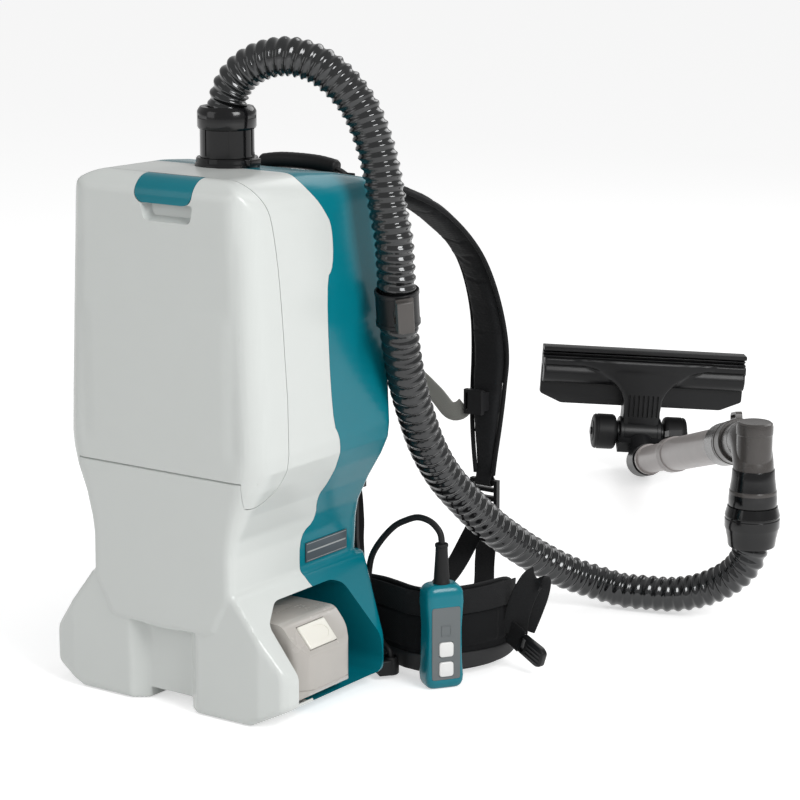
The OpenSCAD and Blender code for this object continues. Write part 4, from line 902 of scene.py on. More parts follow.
def latch_line(g):
    """The latch's outline, moved out by g."""
    w = LATCH_HALF + g
    line = ([(-w, TOP + 8), (-w, LATCH_Z + 12)] + arc_points(-w + 11, LATCH_Z + 11 - g, 11, 180, 270, 6)
            + arc_points(w - 11, LATCH_Z + 11 - g, 11, 270, 360, 6) + [(w, LATCH_Z + 12), (w, TOP + 8)])
    return [(LATCH_X + x, z) for x, z in line]


def pocket_shape():
    """Finger recess under the latch, with sloping sides."""
    mouth = soft_corners([(-15, 488), (-11, 470.5), (44, 470.5), (48, 488)], 5)
    floor = soft_corners([(-9, 492), (-7, 475), (40, 475), (42, 492)], 5)
    levels = ((grown(mouth, 0.4), -2), (mouth, 1), (floor, 10))
    return skin([[(x, FRONT + y, z) for x, z in line] for line, y in levels])


def build_lid():
    """Lid with a turned-in lower edge, ears on the hinge, a recess for the latch and one for a finger."""
    body = cut(copy_of(outer), copy_of(inner))
    ear_a, ear_b, lid = [common(copy_of(body), shape) for shape in lid_region(-0.4)]
    bpy.data.objects.remove(body)
    shelf = common(slab(-112, 112, -111, -71, SEAM_Z + 0.4, SEAM_Z + WALL + 0.4), copy_of(outer))
    union(lid, ear_a, ear_b, shelf)
    ear = prism(seam_line(-0.4)[5:] + [(-200, 209.4), (-200, TOP)], -180, 180, "x")
    for block in both_x(slab(98.9, 118, -111, -66, 200, SEAM_Z + WALL)):
        union(lid, common(block, copy_of(outer), ear))
    backing = prism([(-34, 514), (-24, 466), (54, 466), (58, 514)], FRONT, FRONT + 14, "y")
    union(lid, common(backing, copy_of(outer)))
    recess = latch_line(0.6)
    cut(lid, cut(prism(recess, -122, -86, "y"), copy_of(inner)), pocket_shape(), prism(recess, -122, -97.4, "y"),
        *both_x(hinge_lathe([(3.06, 80), (3.06, 98.7), (1.56, 98.7), (1.56, 101.4)])))
    return lid


def build_latch():
    plate = cut(common(prism(latch_line(-0.1), -122, -90, "y"), copy_of(outer)), copy_of(inner))
    for middle in (LATCH_X - 22, LATCH_X + 22):
        union(plate, lathe([(5, middle - 3), (5, middle + 3)], (0, -97, 505), X_AXIS, 32))
    return plate


outer, inner = shell_surfaces()
rear_shell, front_shell = build_shell()
add_front_details(front_shell)
lid_shell = build_lid()
latch_plate = build_latch()
for way, side_name in SIDES:
    pin = hinge_lathe([(0, 86), (2.6, 86), (3, 86.5), (3, 98.5), (1.5, 98.6), (1.5, 101), (0, 101.2)], way=way)
    new_piece("lid_pin_" + side_name, pin, "root", STEEL, slot="steel", replaces=("hinge_pins",))
taken(rear_shell, "rear_shell", "root", TEAL, sharp=28, slot="teal_plastic", replaces=("rear_housing",))
taken(front_shell, "front_shell", "root", WHITE, sharp=28, slot="white_plastic", replaces=("front_housing",))
taken(lid_shell, "lid_shell", "lid", WHITE, sharp=28, slot="white_plastic", replaces=("lid",))
taken(latch_plate, "latch_plate", "latch", TEAL, sharp=28, slot="teal_plastic", replaces=("latch",))
for spare in (outer, inner):
    bpy.data.objects.remove(spare)

# ------------------------------------------------------------ soft goods

# Outer face of the harness plate, where the pads lie
PAD_Y = 109.0
STRAP_ROUTE = [(72, 110.5, 480), (74, 135, 482), (80, 168, 471), (86, 208, 452), (89, 250, 424), (90, 284, 392),
               (90, 306, 356), (90, 319, 318), (90, 323, 283), (90, 320, 250), (89, 318, 215), (88, 317, 180),
               (87, 318, 150)]
STRAP_STEPS = 90
BELT_ROUTE = [(74.4, 118.4), (98, 119.5), (124, 113), (145, 108), (162, 115.5), (177, 132), (188, 155), (193, 182),
              (188, 210), (174, 232)]
BELT_Z, BELT_H, BELT_STEPS = 48.0, 88, 70
# Half of a strap's section, as shares of its width and thickness: flat, with round edges
STRAP_HALF = ((-0.5, 0), (-0.485, 0.4), (-0.44, 0.5), (-0.2, 0.46), (0, 0.46), (0.2, 0.46), (0.44, 0.5), (0.485, 0.4))
STRAP_SECTION = STRAP_HALF + tuple((-x, -y) for x, y in STRAP_HALF)
# Frames that Cloth runs for
CLOTH_FRAMES = 20


def coordinates(mesh):
    co = np.empty(len(mesh.vertices) * 3)
    mesh.vertices.foreach_get("co", co)
    return co.reshape(-1, 3)


def puffed(shape, cap=2.5, voxel=4.0):
    """Closed fabric shell, remeshed and blown up by Blender's Cloth by no more than cap, then smoothed."""
    made = raw_object(shape)
    step = made.modifiers.new("remesh", "REMESH")
    step.mode = "VOXEL"
    step.voxel_size = voxel * MM
    applied(made)
    rest = coordinates(made.data)
    cloth = made.modifiers.new("cloth", "CLOTH")
    cloth.settings.quality = 4
    cloth.settings.use_pressure = True
    cloth.settings.uniform_pressure_force = 4.0
    cloth.settings.effector_weights.gravity = 0
    cloth.point_cache.frame_start = 1
    cloth.point_cache.frame_end = CLOTH_FRAMES
    for number in range(1, CLOTH_FRAMES + 1):
        scene.frame_set(number)
    graph = bpy.context.evaluated_depsgraph_get()
    move = coordinates(made.evaluated_get(graph).data) - rest
    made.modifiers.clear()
    size = np.linalg.norm(move, axis=1)[:, None]
    move *= np.minimum(1, cap * MM / np.maximum(size, 1e-9))
    made.data.vertices.foreach_set("co", (rest + move).ravel())
    scene.frame_set(1)
    step = made.modifiers.new("soft", "SUBSURF")
    step.levels = 1
    return applied(made)


def pressed(made, depth_at):
    """Moves each point inwards along its normal by depth_at(points in mm), also in mm."""
    mesh = made.data
    co = coordinates(mesh)
    normals = np.empty(len(mesh.vertices) * 3)
    mesh.vertices.foreach_get("normal", normals)
    depth = depth_at(co / MM)
    mesh.vertices.foreach_set("co", (co - normals.reshape(-1, 3) * depth[:, None] * MM).ravel())
    mesh.update()
    return made


def crease(distance, width, depth):
    return depth * np.exp(-(distance / width) ** 2)


def ripple(points, amount, scale, seed):
    """Smooth, repeatable unevenness of sewn fabric."""
    rng = np.random.default_rng(seed)
    total = np.zeros(len(points))
    for _ in range(6):
        k = rng.normal(size=3) / scale
        total += np.sin(points @ k + rng.uniform(0, 6.28))
    return amount * total / 6


def nearest(points, path):
    """Index of the path's point that is nearest to each point, found in parts to save memory."""
    parts = [points[low:low + 4000] for low in range(0, len(points), 4000)]
    return np.concatenate([np.argmin(((part[:, None, :] - path[None]) ** 2).sum(2), axis=1) for part in parts])


def band(route, width, thick, across, count=40, waves=0.0, seed=1):
    """Flat woven strap with round edges. across is the way of its width. Both may be functions of t."""
    path = evenly(catmull(route, 10), count)[0]
    t = tangents(path)
    rings = []
    phase = np.random.default_rng(seed).uniform(0, 6.28)
    for k, p in enumerate(path):
        u = k / count
        a = square_to(t[k], np.array(across(u) if callable(across) else across, float))
        n = np.cross(t[k], a)
        w = width(u) if callable(width) else width
        lift = waves * math.sin(2 * math.pi * u * 2.5 + phase)
        rings.append([p + a * x * w + n * (y * thick + lift * (0.3 + abs(x))) for x, y in STRAP_SECTION])
    return skin(rings)


def cordage(points, r, n, count):
    """Round cord through the points."""
    return sweep(evenly(catmull(points, 6), count)[0], circle(r, n), (0.3, 0.2, 0.9))


def strap_frames(count):
    """The shoulder pad's path, with side and up vectors, widths and thicknesses."""
    path = evenly(catmull(STRAP_ROUTE, 12), count)[0]
    t = tangents(path)
    sides, widths, thicks = [], [], []
    for k in range(count + 1):
        u = k / count
        tilt = math.radians(-20 * math.sin(math.pi * min(1, u * 1.2)))
        sides.append(square_to(t[k], np.array((math.cos(tilt), math.sin(tilt), 0))))
        widths.append(60 * np.interp(u, [0, 0.2, 0.45, 0.7, 0.88, 1], [0.62, 1, 0.86, 0.9, 0.66, 0.44]))
        thicks.append(15 * (0.5 + 0.5 * math.sin(math.pi * (0.06 + 0.88 * u)) ** 0.7))
    return path, np.array(sides), np.cross(t, sides), np.array(widths), np.array(thicks)


def shoulder_strap(side, name):
    """Moulded shoulder pad with a bound edge, and channels across its face."""
    path, sides, ups, widths, thicks = strap_frames(STRAP_STEPS)
    rings = []
    for k, p in enumerate(path):
        points = [squared(-a, (widths[k] - 4) / 2, (thicks[k] - 2.5) / 2, 0.7, 0.85) for a in turn_of(28)]
        rings.append([p + sides[k] * x + ups[k] * y for x, y in points])
    flip = (side, 1, 1)

    def depth(points):
        near = nearest(points, path * flip)
        lateral = np.abs(((points - (path * flip)[near]) * sides[near] * flip).sum(1))
        channel = np.abs(((near / STRAP_STEPS * 7.0) % 1.0) - 0.5) / 7.0 * 520
        middle = lateral < widths[near] * 0.34
        return (crease(channel, 3.2, 0.9) * middle + ripple(points, 0.35, 14.0, 11)
                + crease(lateral - widths[near] * 0.38, 2.0, 0.9))

    made = pressed(puffed(on_side(facing(skin(rings)), side)), depth)
    pad = taken(made, "strap_pad_" + name, "root", MESH_FABRIC, sharp=0, slot="fabric",
                replaces=("shoulder_pad_" + name,))
    for edge, sign in (("a", 1), ("b", -1)):
        line = path + sides * (sign * (widths / 2 - 2.8))[:, None]
        shape = cordage([line[k] for k in range(1, STRAP_STEPS, 4)], 2.4, 10, 120)
        new_piece("strap_binding_%s_%s" % (name, edge), on_side(shape, side), "root", WEBBING, sharp=0, slot="fabric")


def belt_frames(count):
    """The belt's path, with outward vectors, heights, and shares of the way along it."""
    path = evenly(catmull([(x, y, BELT_Z) for x, y in BELT_ROUTE], 12), count)[0]
    t = tangents(path)
    out = np.stack([t[:, 1], -t[:, 0], np.zeros(len(t))], 1)
    u = np.linspace(0, 1, count + 1)
    height = BELT_H * np.where(u < 0.7, 1, np.sqrt(np.maximum(0.08, 1 - ((u - 0.7) / 0.32) ** 2)))
    return path, out, height, u


def belt_wing(side, name):
    """Padded wing of the hip belt, with its bound edge, a webbing carrier and a bumper strip."""
    path, out, height, u = belt_frames(BELT_STEPS)
    rings = []
    for k, p in enumerate(path):
        thick = 15.5 * (1 if u[k] < 0.85 else np.interp(u[k], [0.85, 1], [1, 0.6]))
        points = [squared(a, thick / 2, (height[k] - 4) / 2, 0.75, 0.6) for a in turn_of(32)]
        rings.append([p + out[k] * y + np.array((0, 0, z)) for y, z in points])

    def depth(points):
        local = points * (side, 1, 1)
        near = nearest(local[:, :2], path[:, :2])
        z = local[:, 2] - BELT_Z
        rows = sum(crease(z - row * height[near] / BELT_H, 1.9, 2.0) for row in (17.0, -19.0))
        post = crease(np.abs(u[near] - 0.72) * 300, 2.0, 1.5) * (np.abs(z) < 16)
        return rows + post + ripple(points, 0.5, 16.0, 5)

    made = pressed(puffed(on_side(facing(skin(rings)), side)), depth)
    wing = taken(made, "belt_wing_" + name, "root", FABRIC, sharp=0, slot="fabric", replaces=("hip_belt_" + name,))

    def along(away, level, end):
        return [tuple(path[k] + out[k] * away + (0, 0, level * height[k] / BELT_H)) for k in range(2, end, 4)]

    rim = [(path[k], (0, 0, height[k] / 2 - 2.9)) for k in range(0, BELT_STEPS + 1, 4)]
    edge = cordage([p + up for p, up in rim] + [p - up for p, up in rim][::-1], 2.4, 8, 150)
    carrier = band(along(9.6, 29.5, int(BELT_STEPS * 0.86)), 25, 1.8, (0, 0, 1), 60, 0.3, 3)
    bumper = band(along(9.2, -31, int(BELT_STEPS * 0.9)), lambda q: 17 - 5 * q ** 3, 2.2, (0, 0, 1), 60, 0.25, 8)
    for label, shape, paint in (("edge", edge, WEBBING), ("carrier", carrier, WEBBING), ("bumper", bumper, BUMPER)):
        new_piece("belt_%s_%s" % (label, name), on_side(shape, side), "root", paint, sharp=50, slot="fabric")


def flat_cushion(levels, half_width, thickness, grooves, seed, name, node):
    """Pad that lies flat on the harness plate and crowns away from it."""
    rings = []
    for z, hw, d in zip(levels, half_width, thickness):
        crown = [squared(math.pi * i / 16, hw, d, 0.55, 0.5) for i in range(17)]
        rings.append([(-hw + 1, PAD_Y + 0.6, z), (hw - 1, PAD_Y + 0.6, z)]
                     + [(x, PAD_Y + 1.2 + y, z) for x, y in crown])

    def depth(points):
        free = np.clip((points[:, 1] - PAD_Y - 3) / 4, 0, 1)
        rows = sum(crease(points[:, 2] - z, 3.0, 3.2) for z in grooves)
        return free * (rows + ripple(points, 0.5, 18.0, seed))

    made = pressed(puffed(facing(skin(rings)), cap=3.0, voxel=4.5), depth)
    co = coordinates(made.data)
    co[:, 1] = np.maximum(co[:, 1], (PAD_Y + 0.35) * MM)
    co[:, 2] = np.maximum(co[:, 2], 1.5 * MM)
    made.data.vertices.foreach_set("co", co.ravel())
    pad = taken(made, name, "root", MESH_FABRIC, sharp=0, slot="fabric", replaces=(node,))


def back_cushions():
    zs = np.linspace(151, 449, 50)
    u = (zs - 150) / 300
    hw = 70 + 24 * np.sin(np.pi / 2 * np.minimum(1, u * 1.6)) ** 2 - 10 * (np.maximum(0, u - 0.8) * 5) ** 2
    d = 13 * np.maximum(0.02, np.sin(np.pi * u)) ** 0.35
    flat_cushion(zs, hw, d, (225, 300, 375), 21, "back_pad_soft", "back_pad")
    zs = np.linspace(3, 93, 24)
    u = (zs - 2) / 92
    hw = 68 * (0.94 + 0.06 * np.sin(np.pi * u) ** 0.5)
    d = 20 * np.maximum(0.04, np.sin(np.pi * u)) ** 0.4
    flat_cushion(zs, hw, d, (33, 63), 22, "lumbar_pad_soft", "lumbar_pad")


def webbing_pieces(side, name):
    """The lower strap and its tail, the loop that joins pad and buckle, and the belt's web at its buckle."""
    down = [(88, 317, 116), (86, 296, 92), (83, 258, 58), (82, 200, 34), (82, 129, 26)]
    tail = [(89, 320.9, 116.7), (87, 323, 92), (86, 322, 60), (85, 321, 28)]
    loop = [(87, 320.5, 166), (87, 321.2, 153), (87, 323.6, 148.5), (87, 323.6, 145.2), (87, 321.5, 143),
            (87, 319, 142.7), (87, 316.5, 143), (87, 314.4, 145.2), (87, 314.4, 148.5), (87, 316.8, 153),
            (87, 318.5, 164)]
    belt = [(202.3, 185, 37), (211, 183.8, 34), (221.6, 181.1, 29.2)]

    def twist(t):
        return math.sin(math.radians(20 * t)), 0, math.cos(math.radians(20 * t))

    for label, shape, nodes in (
        ("strap_web_down_", band(down, 25, 2, X_AXIS, 60, 0.5, 4), ("strap_webbing",)),
        ("strap_web_tail_", band(tail, 25, 2, X_AXIS, 40, 0.5, 6), ("strap_webbing",)),
        ("strap_web_loop_", band(loop, 19, 2, X_AXIS, 60), ()),
        ("belt_web_", band(belt, 25, 2, twist, 16), ("belt_webbing",)),
    ):
        new_piece(label + name, on_side(shape, side), "root", WEBBING, sharp=50, slot="fabric", replaces=nodes)


def sternum_piece():
    route = [(73.6, 300, 230), (66, 299.6, 224), (54, 299, 224), (36, 299, 240), (8, 300, 256), (-30, 300, 256),
             (-62, 300, 246), (-73.6, 300, 238)]
    new_piece("sternum_web", band(route, 20, 2, (0, 0, 1), 60, 0.3, 9), "root", GREY_WEBBING, sharp=50,
              slot="grey_webbing", replaces=("sternum_strap",))


def carry_handle():
    """Round grip, and a web and foot at each of its ends."""
    y, z = PAD_Y + 4, TOP - 13
    path = evenly(catmull([(-46, y, z - 2), (-20, y, z + 1.5), (20, y, z + 1.5), (46, y, z - 2)], 10), 60)[0]

    def section(t):
        r = 7.9 * min(1, 0.82 + 6 * min(t, 1 - t)) * (1 - 0.008 * math.cos(2 * math.pi * t * 14))
        return [squared(a, r, r, 0.8, 0.8) for a in turn_of(28)]

    new_piece("handle_grip", sweep(path, section), "root", RUBBER, sharp=0, slot="rubber", replaces=("carry_handle",))
    web = band([(40, y + 1, z - 1.6), (49, y + 1, z - 4), (57, y + 0.5, z - 8), (64, y, z - 13)], 8, 2.4, (0, 1, 0), 20)
    foot = moved(soft_box((16, 3, 6.4), 1), shifted(64, PAD_Y + 1.8, TOP - 24.9))
    strip = moved(soft_box((10, 2.2, 16), 0.8), shifted(64, PAD_Y + 2.0, TOP - 26))
    for side, name in SIDES:
        shape = on_side(joined(web, foot, strip), side)
        new_piece("handle_end_" + name, shape, "root", WEBBING, sharp=50, slot="fabric", replaces=("carry_handle",))


for side, side_name in SIDES:
    shoulder_strap(side, side_name)
for side, side_name in SIDES:
    belt_wing(side, side_name)
back_cushions()
for side, side_name in SIDES:
    webbing_pieces(side, side_name)
sternum_piece()
carry_handle()

# ------------------------------------------------------------ batteries

# The battery pack's inner, front, lower corner, and its size
BATT_X, BATT_Y, BATT_Z = 41.0, -78.0, 22.0
BATT_L, BATT_W, BATT_H = 104.0, 84.0, 72.0


def battery_pieces(side, name):
    """Battery pack with a foot line round it, and its dished push button on the slope."""
    x1, y1, top = BATT_X + BATT_L, BATT_Y + BATT_W, BATT_Z + BATT_H
    profile = soft_corners([(BATT_X, BATT_Z), (x1 - 8, BATT_Z), (x1, BATT_Z + 8), (x1, top - 30), (x1 - 26, top),
                            (BATT_X, top)], 6)
    plan = soft_corners([(BATT_X, BATT_Y), (x1 - 12, BATT_Y), (x1, BATT_Y + 14), (x1, y1 - 12), (x1 - 12, y1),
                         (BATT_X, y1)], 6)
    block = softened(common(prism(profile, BATT_Y, y1, "y"), prism(plan, 0, 200, "z")), 2.0, 35)
    slope = shifted(x1 - 13, BATT_Y + BATT_W / 2 - 4, top - 15) @ Matrix.Rotation(math.atan2(30, 26), 4, "Y")
    line = slab(BATT_X + 2, x1 + 4, BATT_Y - 2, y1 + 2, BATT_Z + 9.2, BATT_Z + 10.2)
    cut(block, moved(slab(-13, 13, -21.3, 21.3, -8, 12), slope), cut(line, prism(grown(plan, -0.8), 0, 200, "z")))
    button = softened(moved(slab(-12.4, 12.4, -20.9, 20.9, -4, 1.9), slope), 1.6)
    dish = lathe([(0, 0), (13, 0), (13, 3), (0, 3)], segments=40)
    cut(button, moved(dish, slope @ shifted(0, 0, 1.35) @ Matrix.Diagonal((0.62, 1.25, 1, 1))))
    if side < 0:
        mirror_object(block)
        mirror_object(button)
    taken(block, "battery_case_" + name, "battery_" + name, BATTERY, sharp=30, slot="battery_grey",
          replaces=("battery_" + name,))
    taken(button, "battery_key_" + name, "battery_button_" + name, CREAM, sharp=30, slot="pale_plastic",
          replaces=("battery_button_" + name,))


for side, side_name in SIDES:
    battery_pieces(side, side_name)

# ------------------------------------------------------------ inlet


def inlet_pieces():
    """Collar on the machine's top, and the cuff that turns in it and holds the hose."""
    socket = raw_object(lathe([(23.3, 494), (25.8, 494), (25.8, 507.2), (30.2, 507.2), (31, 508), (31, 513),
                               (30, 514.5), (30, 517.5), (29, 519), (23.3, 519)], segments=96, closed=True))
    lug = softened(slab(24, 34, -9, 9, 512, 518.8), 1.2)
    union(socket, cut(lug, lathe([(0, 480), (23.3, 480), (23.3, 530), (0, 530)], segments=96)))
    cut(socket, *around(slab(28.6, 34, -5, 5, 514.6, 521), 3, 40))
    taken(socket, "inlet_collar", "root", GLOSS_BLACK, sharp=30, slot="black_plastic", replaces=("inlet_socket",))
    cuff = raw_object(lathe([(15, 499), (22.9, 499), (22.9, 519.4), (26, 519.4), (26, 545.4), (27.4, 546.2),
                             (28.3, 548.2), (28.3, 562.4), (27.2, 564.6), (25.4, 566.9), (21.6, 567), (19.6, 566),
                             (19.6, 528), (15, 527)], segments=96, closed=True))
    union(cuff, *around(slab(24.4, 26.7, -1.2, 1.2, 521, 548), 6, 15))
    cut(cuff, *around(slab(26.9, 30, -8, 8, 556, 559), 3, 10))
    taken(cuff, "hose_cuff", "inlet_cuff", GLOSS_BLACK, sharp=30, slot="black_plastic", replaces=("inlet_cuff",))


inlet_pieces()

# ------------------------------------------------------------ wand and floor nozzle

WAND_TILT, WAND_YAW, WAND_LENGTH = 15.8, 130, 665.0
ELBOW = Vector((337.0, 450.0, 20.5 + WAND_LENGTH * math.sin(math.radians(WAND_TILT))))
UNDER_ELBOW = (337.0, 450.0, 0)
# Each matrix takes a piece that is built along X or upright at the origin to its place
IN_WAND = shifted(*ELBOW) @ spun(WAND_YAW, "Z") @ spun(WAND_TILT, "Y")
IN_NECK = IN_WAND @ shifted(WAND_LENGTH, 0, 0) @ spun(4, "X")
IN_HEAD = IN_NECK @ shifted(35, 0, 38) @ spun(-WAND_TILT, "Y")
NOZZLE_HALF = 133.5


def wand_tube(profile):
    """Tube on the wand's axis, from (radius, distance from the bend)."""
    return moved(lathe(profile, axis=X_AXIS, segments=72, closed=True), IN_WAND)


def wand_pieces():
    """Turning cuff at the hose's end, and the air slide with its thumb loop."""
    cuff = lathe([(22, 86), (24.2, 86), (25, 87.5), (25.6, 94), (28.2, 105.6), (29, 107), (29, 116), (28.3, 117),
                  (28.3, 118.6), (29, 119.6), (28.2, 123), (26.3, 129.6), (19.6, 129.6), (19.6, 100)],
                 UNDER_ELBOW, segments=96, closed=True)
    taken(raw_object(cuff), "wand_ring", "wand_cuff", GLOSS_BLACK, sharp=30, slot="black_plastic",
          replaces=("wand_cuff",))
    slide = raw_object(wand_tube([(21.6, 68.1), (23.9, 68.1), (24.5, 69), (24.5, 74), (23.8, 74.8), (23.8, 95.2),
                                  (24.5, 96), (24.5, 101), (23.9, 101.9), (21.6, 101.9)]))
    rim = soft_corners([(70, 22.5), (70.5, 30), (73, 32.2), (97, 32.2), (100.5, 29), (101, 22.5)], 2.4)
    hole = soft_corners([(73.5, 25.4), (74.2, 29.2), (97.2, 29.2), (98, 25.4)], 1.6)
    union(slide, in_place(cut(prism(rim, -3.4, 3.4, "y"), prism(hole, -5, 5, "y")), IN_WAND))
    for k in range(5):
        groove = slab(74 + k * 4.4, 75.6 + k * 4.4, -9, 9, 23.2, 26)
        cut(slide, moved(moved(groove, spun(50, "X")), IN_WAND))
    taken(slide, "air_slide_ring", "air_slide", SLIDE, sharp=30, slot="dark_plastic", replaces=("air_slide",))


def straight_pipes():
    """Two smooth tubes of the telescopic wand, and the closed socket and bell over its bend; the bell's black is
    painted shade on the smoky bend's lower part.
    """
    outer_tube = wand_tube([(18, 114.6), (19.6, 114.6), (20, 115.2), (20, 425.6), (20.6, 426), (21.5, 427.2),
                            (21.5, 461), (20.8, 462), (20, 462.6), (20, 469), (19.5, 469.8), (18, 469.8)])
    rings = [wand_tube([(21.1, x), (22, x), (22, x + 1.4), (21.1, x + 1.4)]) for x in (432, 437, 442, 447)]
    taken(cut(outer_tube, *rings), "pipe_outside", "root", PIPE, sharp=30, slot="pipe_grey", replaces=("outer_pipe",))
    inner_tube = wand_tube([(15.5, 245.2), (17, 245.2), (17.4, 245.8), (17.4, 602.6), (18.8, 603), (19.5, 604),
                            (19.5, 611), (18.8, 612), (17.4, 612.6), (17.4, 656.6), (15.5, 656.6)])
    dents = [moved(slab(x, x + 7, -4.5, 4.5, 16.7, 20), IN_WAND) for x in range(330, 461, 26)]
    taken(cut(inner_tube, *dents), "pipe_inside", "inner_pipe", PIPE, sharp=30, slot="pipe_grey",
          replaces=("inner_pipe",))
    cap = lathe([(0, 172), (18.7, 172), (18.7, 206), (19.3, 207), (19.4, 214.5), (18.6, 218), (16.4, 219.5),
                 (14, 219.2), (0, 219.4)], UNDER_ELBOW, segments=80)
    new_piece("bend_socket", cap, "root", BENT, sharp=30, slot="bent_brown")
    # The bell is the same smoky plastic as the socket above it, but painted black as the shade on the bend's lower
    # part.
    bell = lathe([(20, 130.2), (25.3, 130.2), (25.6, 130.8), (25.5, 139), (24.3, 149), (22.9, 159), (22.4, 168),
                  (22, 169), (20, 169)], UNDER_ELBOW, segments=80, closed=True)
    new_piece("bend_shaded_bell", bell, "root", GLOSS_BLACK, sharp=30, slot="bent_brown")


def nozzle_field(xs, ys, zs):
    """Distance to the floor nozzle's body: a round bar, the flaring duct on it, and a rail over the duct."""
    x, y, z = xs[:, None, None], ys[None, :, None], zs[None, None, :]
    bar = np.hypot(x - 4, z - 76) - 14.4 + 0 * y
    bar = smax(bar, np.abs(y) - (NOZZLE_HALF - 1), 1.5)
    half = np.interp(zs, [10, 30, 46, 55, 63, 70, 76, 81, 85, 88, 91], [24.5, 24, 25.5, 29, 35, 42, 50, 58, 66, 75, 86])
    face = np.interp(ys, [0, 40, 88, 140], [-15, -15, -11.6, -11.6])[None, :, None]
    duct = smax((np.abs(y) - half[None, None, :]) * 0.7, face - x, 5)
    duct = smax(duct, np.abs(z - 53) - 41, 3)
    rail = smax(smax(np.abs(z - 91.5) - 4.5, face - x, 3), np.abs(y) - NOZZLE_HALF + 1, 1)
    return smax(smin(bar, smin(duct, rail, 7), 5), x - 13.6, 1.5)


def nozzle_pieces():
    """Floor nozzle, built upright at the origin and then placed."""
    h = 1.5
    xs, ys, zs = np.arange(-20, 20, h), np.arange(0, 140, h), np.arange(4, 100, h)
    field = nozzle_field(xs, ys, zs)
    field = np.concatenate([field[:, :0:-1], field], axis=1)
    ys = np.concatenate([-ys[:0:-1], ys])
    head = raw_object(surface_nets(field, xs, ys, zs, 0.0))
    plate = soft_corners([(-NOZZLE_HALF, 46), (-NOZZLE_HALF + 28, 34), (NOZZLE_HALF - 28, 34), (NOZZLE_HALF, 46),
                          (NOZZLE_HALF, 109.8), (-NOZZLE_HALF, 109.8)], 3)
    union(head, softened(prism(plate, 6.0, 13.9, "x"), 0.8, 30, 2))
    for x0, x1, z0, z1 in ((-5.8, 15.8, 104.4, 109.9), (-1.8, 15.8, 94.2, 97.8), (0.6, 12, 99.6, 102.0)):
        union(head, softened(slab(x0, x1, -NOZZLE_HALF, NOZZLE_HALF, z0, z1), 1.2))
    union(head, lathe([(15, -27), (20, -27), (21, -26), (21, -22), (20.3, -21.4), (20.3, 21.4), (21, 22), (21, 26),
                       (20, 27), (15, 27)], axis=(0, 1, 0), segments=72))
    for k in range(-3, 4):
        cut(head, softened(slab(-20, -12.2, k * 6.2 - 1.3, k * 6.2 + 1.3, 24, 53), 0.9, 30, 2))
    cut(head, slab(-2, 30, -NOZZLE_HALF + 8, NOZZLE_HALF - 8, 66, 86), slab(-8, 7, -14, 14, 8, 70),
        lathe([(5.1, -60), (5.1, 60)], axis=(0, 1, 0), segments=32))
    taken(in_place(head, IN_HEAD), "floor_nozzle", "nozzle_head", BLACK, sharp=28, slot="black_plastic",
          replaces=("nozzle_head",))


def roller_pieces():
    profile = [(5.1, -16), (13.5, -16), (14.2, -14.8), (19, -14.6), (21.2, -13.6), (22.6, -11.5), (23, -9.5), (23, 8.5),
               (22.3, 9.4), (22.3, 10.4), (22.8, 11.2), (21.4, 13.8), (19, 14.8), (14, 15), (13.2, 16), (5.1, 16)]
    for side, name in SIDES:
        wheel = lathe(profile, (35, -side * (27 + 3.3 + 16), 38), (0, -side, 0), closed=True)
        new_piece("nozzle_roller_" + name, moved(wheel, IN_NECK), "roller_" + name, RUBBER, slot="rubber",
                  replaces=("roller_" + name,))


wand_pieces()
straight_pipes()
nozzle_pieces()
roller_pieces()

# ------------------------------------------------------------ handset

IN_HANDSET = shifted(182.4, 96.4, 0.4) @ spun(55, "Z")


def handset_pieces():
    """Handset case, its sunk face with a lamp window, and two keys."""
    levels = [0, 0.8, 2.5, 6, 12, 20, 30, 45, 60, 70, 78, 86, 92, 97, 100.5, 102.8, 104]
    wide = np.interp(levels, [0, 1.5, 5, 12, 24, 60, 78, 88, 97, 102, 104],
                     [15.4, 17.6, 19.3, 19.9, 18.5, 18.1, 19.2, 20, 19.2, 16.8, 13.4])
    deep = np.interp(levels, [0, 1.5, 5, 12, 24, 78, 88, 97, 102, 104],
                     [10.5, 12.2, 13.5, 14, 13.8, 13.9, 14, 13.2, 11.2, 8.4])
    rings = [[(*squared(v, a, b, 0.36, 0.36), z) for v in turn_of(56)] for z, a, b in zip(levels, wide, deep)]
    case = cut(skin(rings), prism(soft_rect(14.8, 9.2, 82.8, 3), -16, -11.2, "y"))
    union(case, softened(slab(-9, 9, 12.5, 17.6, 50, 94), 1.4))
    taken(in_place(case, IN_HANDSET), "handset_shell", "root", TEAL, sharp=30, slot="teal_plastic",
          replaces=("handset_case",))
    face = raw_object(prism(soft_rect(14.6, 9.4, 82.6, 2.8), -13.7, -11.4, "y"))
    keys = (("power_button", 20), ("mode_button", 40))
    for _, z in keys:
        cut(face, prism(soft_rect(7.8, z - 7.8, z + 7.8, 3.4), -20, 0, "y"))
    union(face, prism(soft_rect(5.2, 53.4, 64.4, 2), -14.2, -13, "y"))
    cut(face, prism(soft_rect(4.4, 54.2, 63.6, 1.6), -15, -13.75, "y"))
    taken(in_place(face, IN_HANDSET), "handset_panel", "root", PANEL, sharp=30, slot="panel_grey",
          replaces=("handset_face",))
    for node, z in keys:
        key = softened(prism(soft_rect(7.4, z - 7.4, z + 7.4, 3.4, 6), -15.2, -9.4, "y"), 1.1, 50)
        taken(in_place(key, IN_HANDSET), node + "_cap", node, KEY_WHITE, sharp=30, slot="pale_plastic",
              replaces=(node,))


handset_pieces()

# ------------------------------------------------------------ buckles, belt loops, hose band, plate lines, dust bag


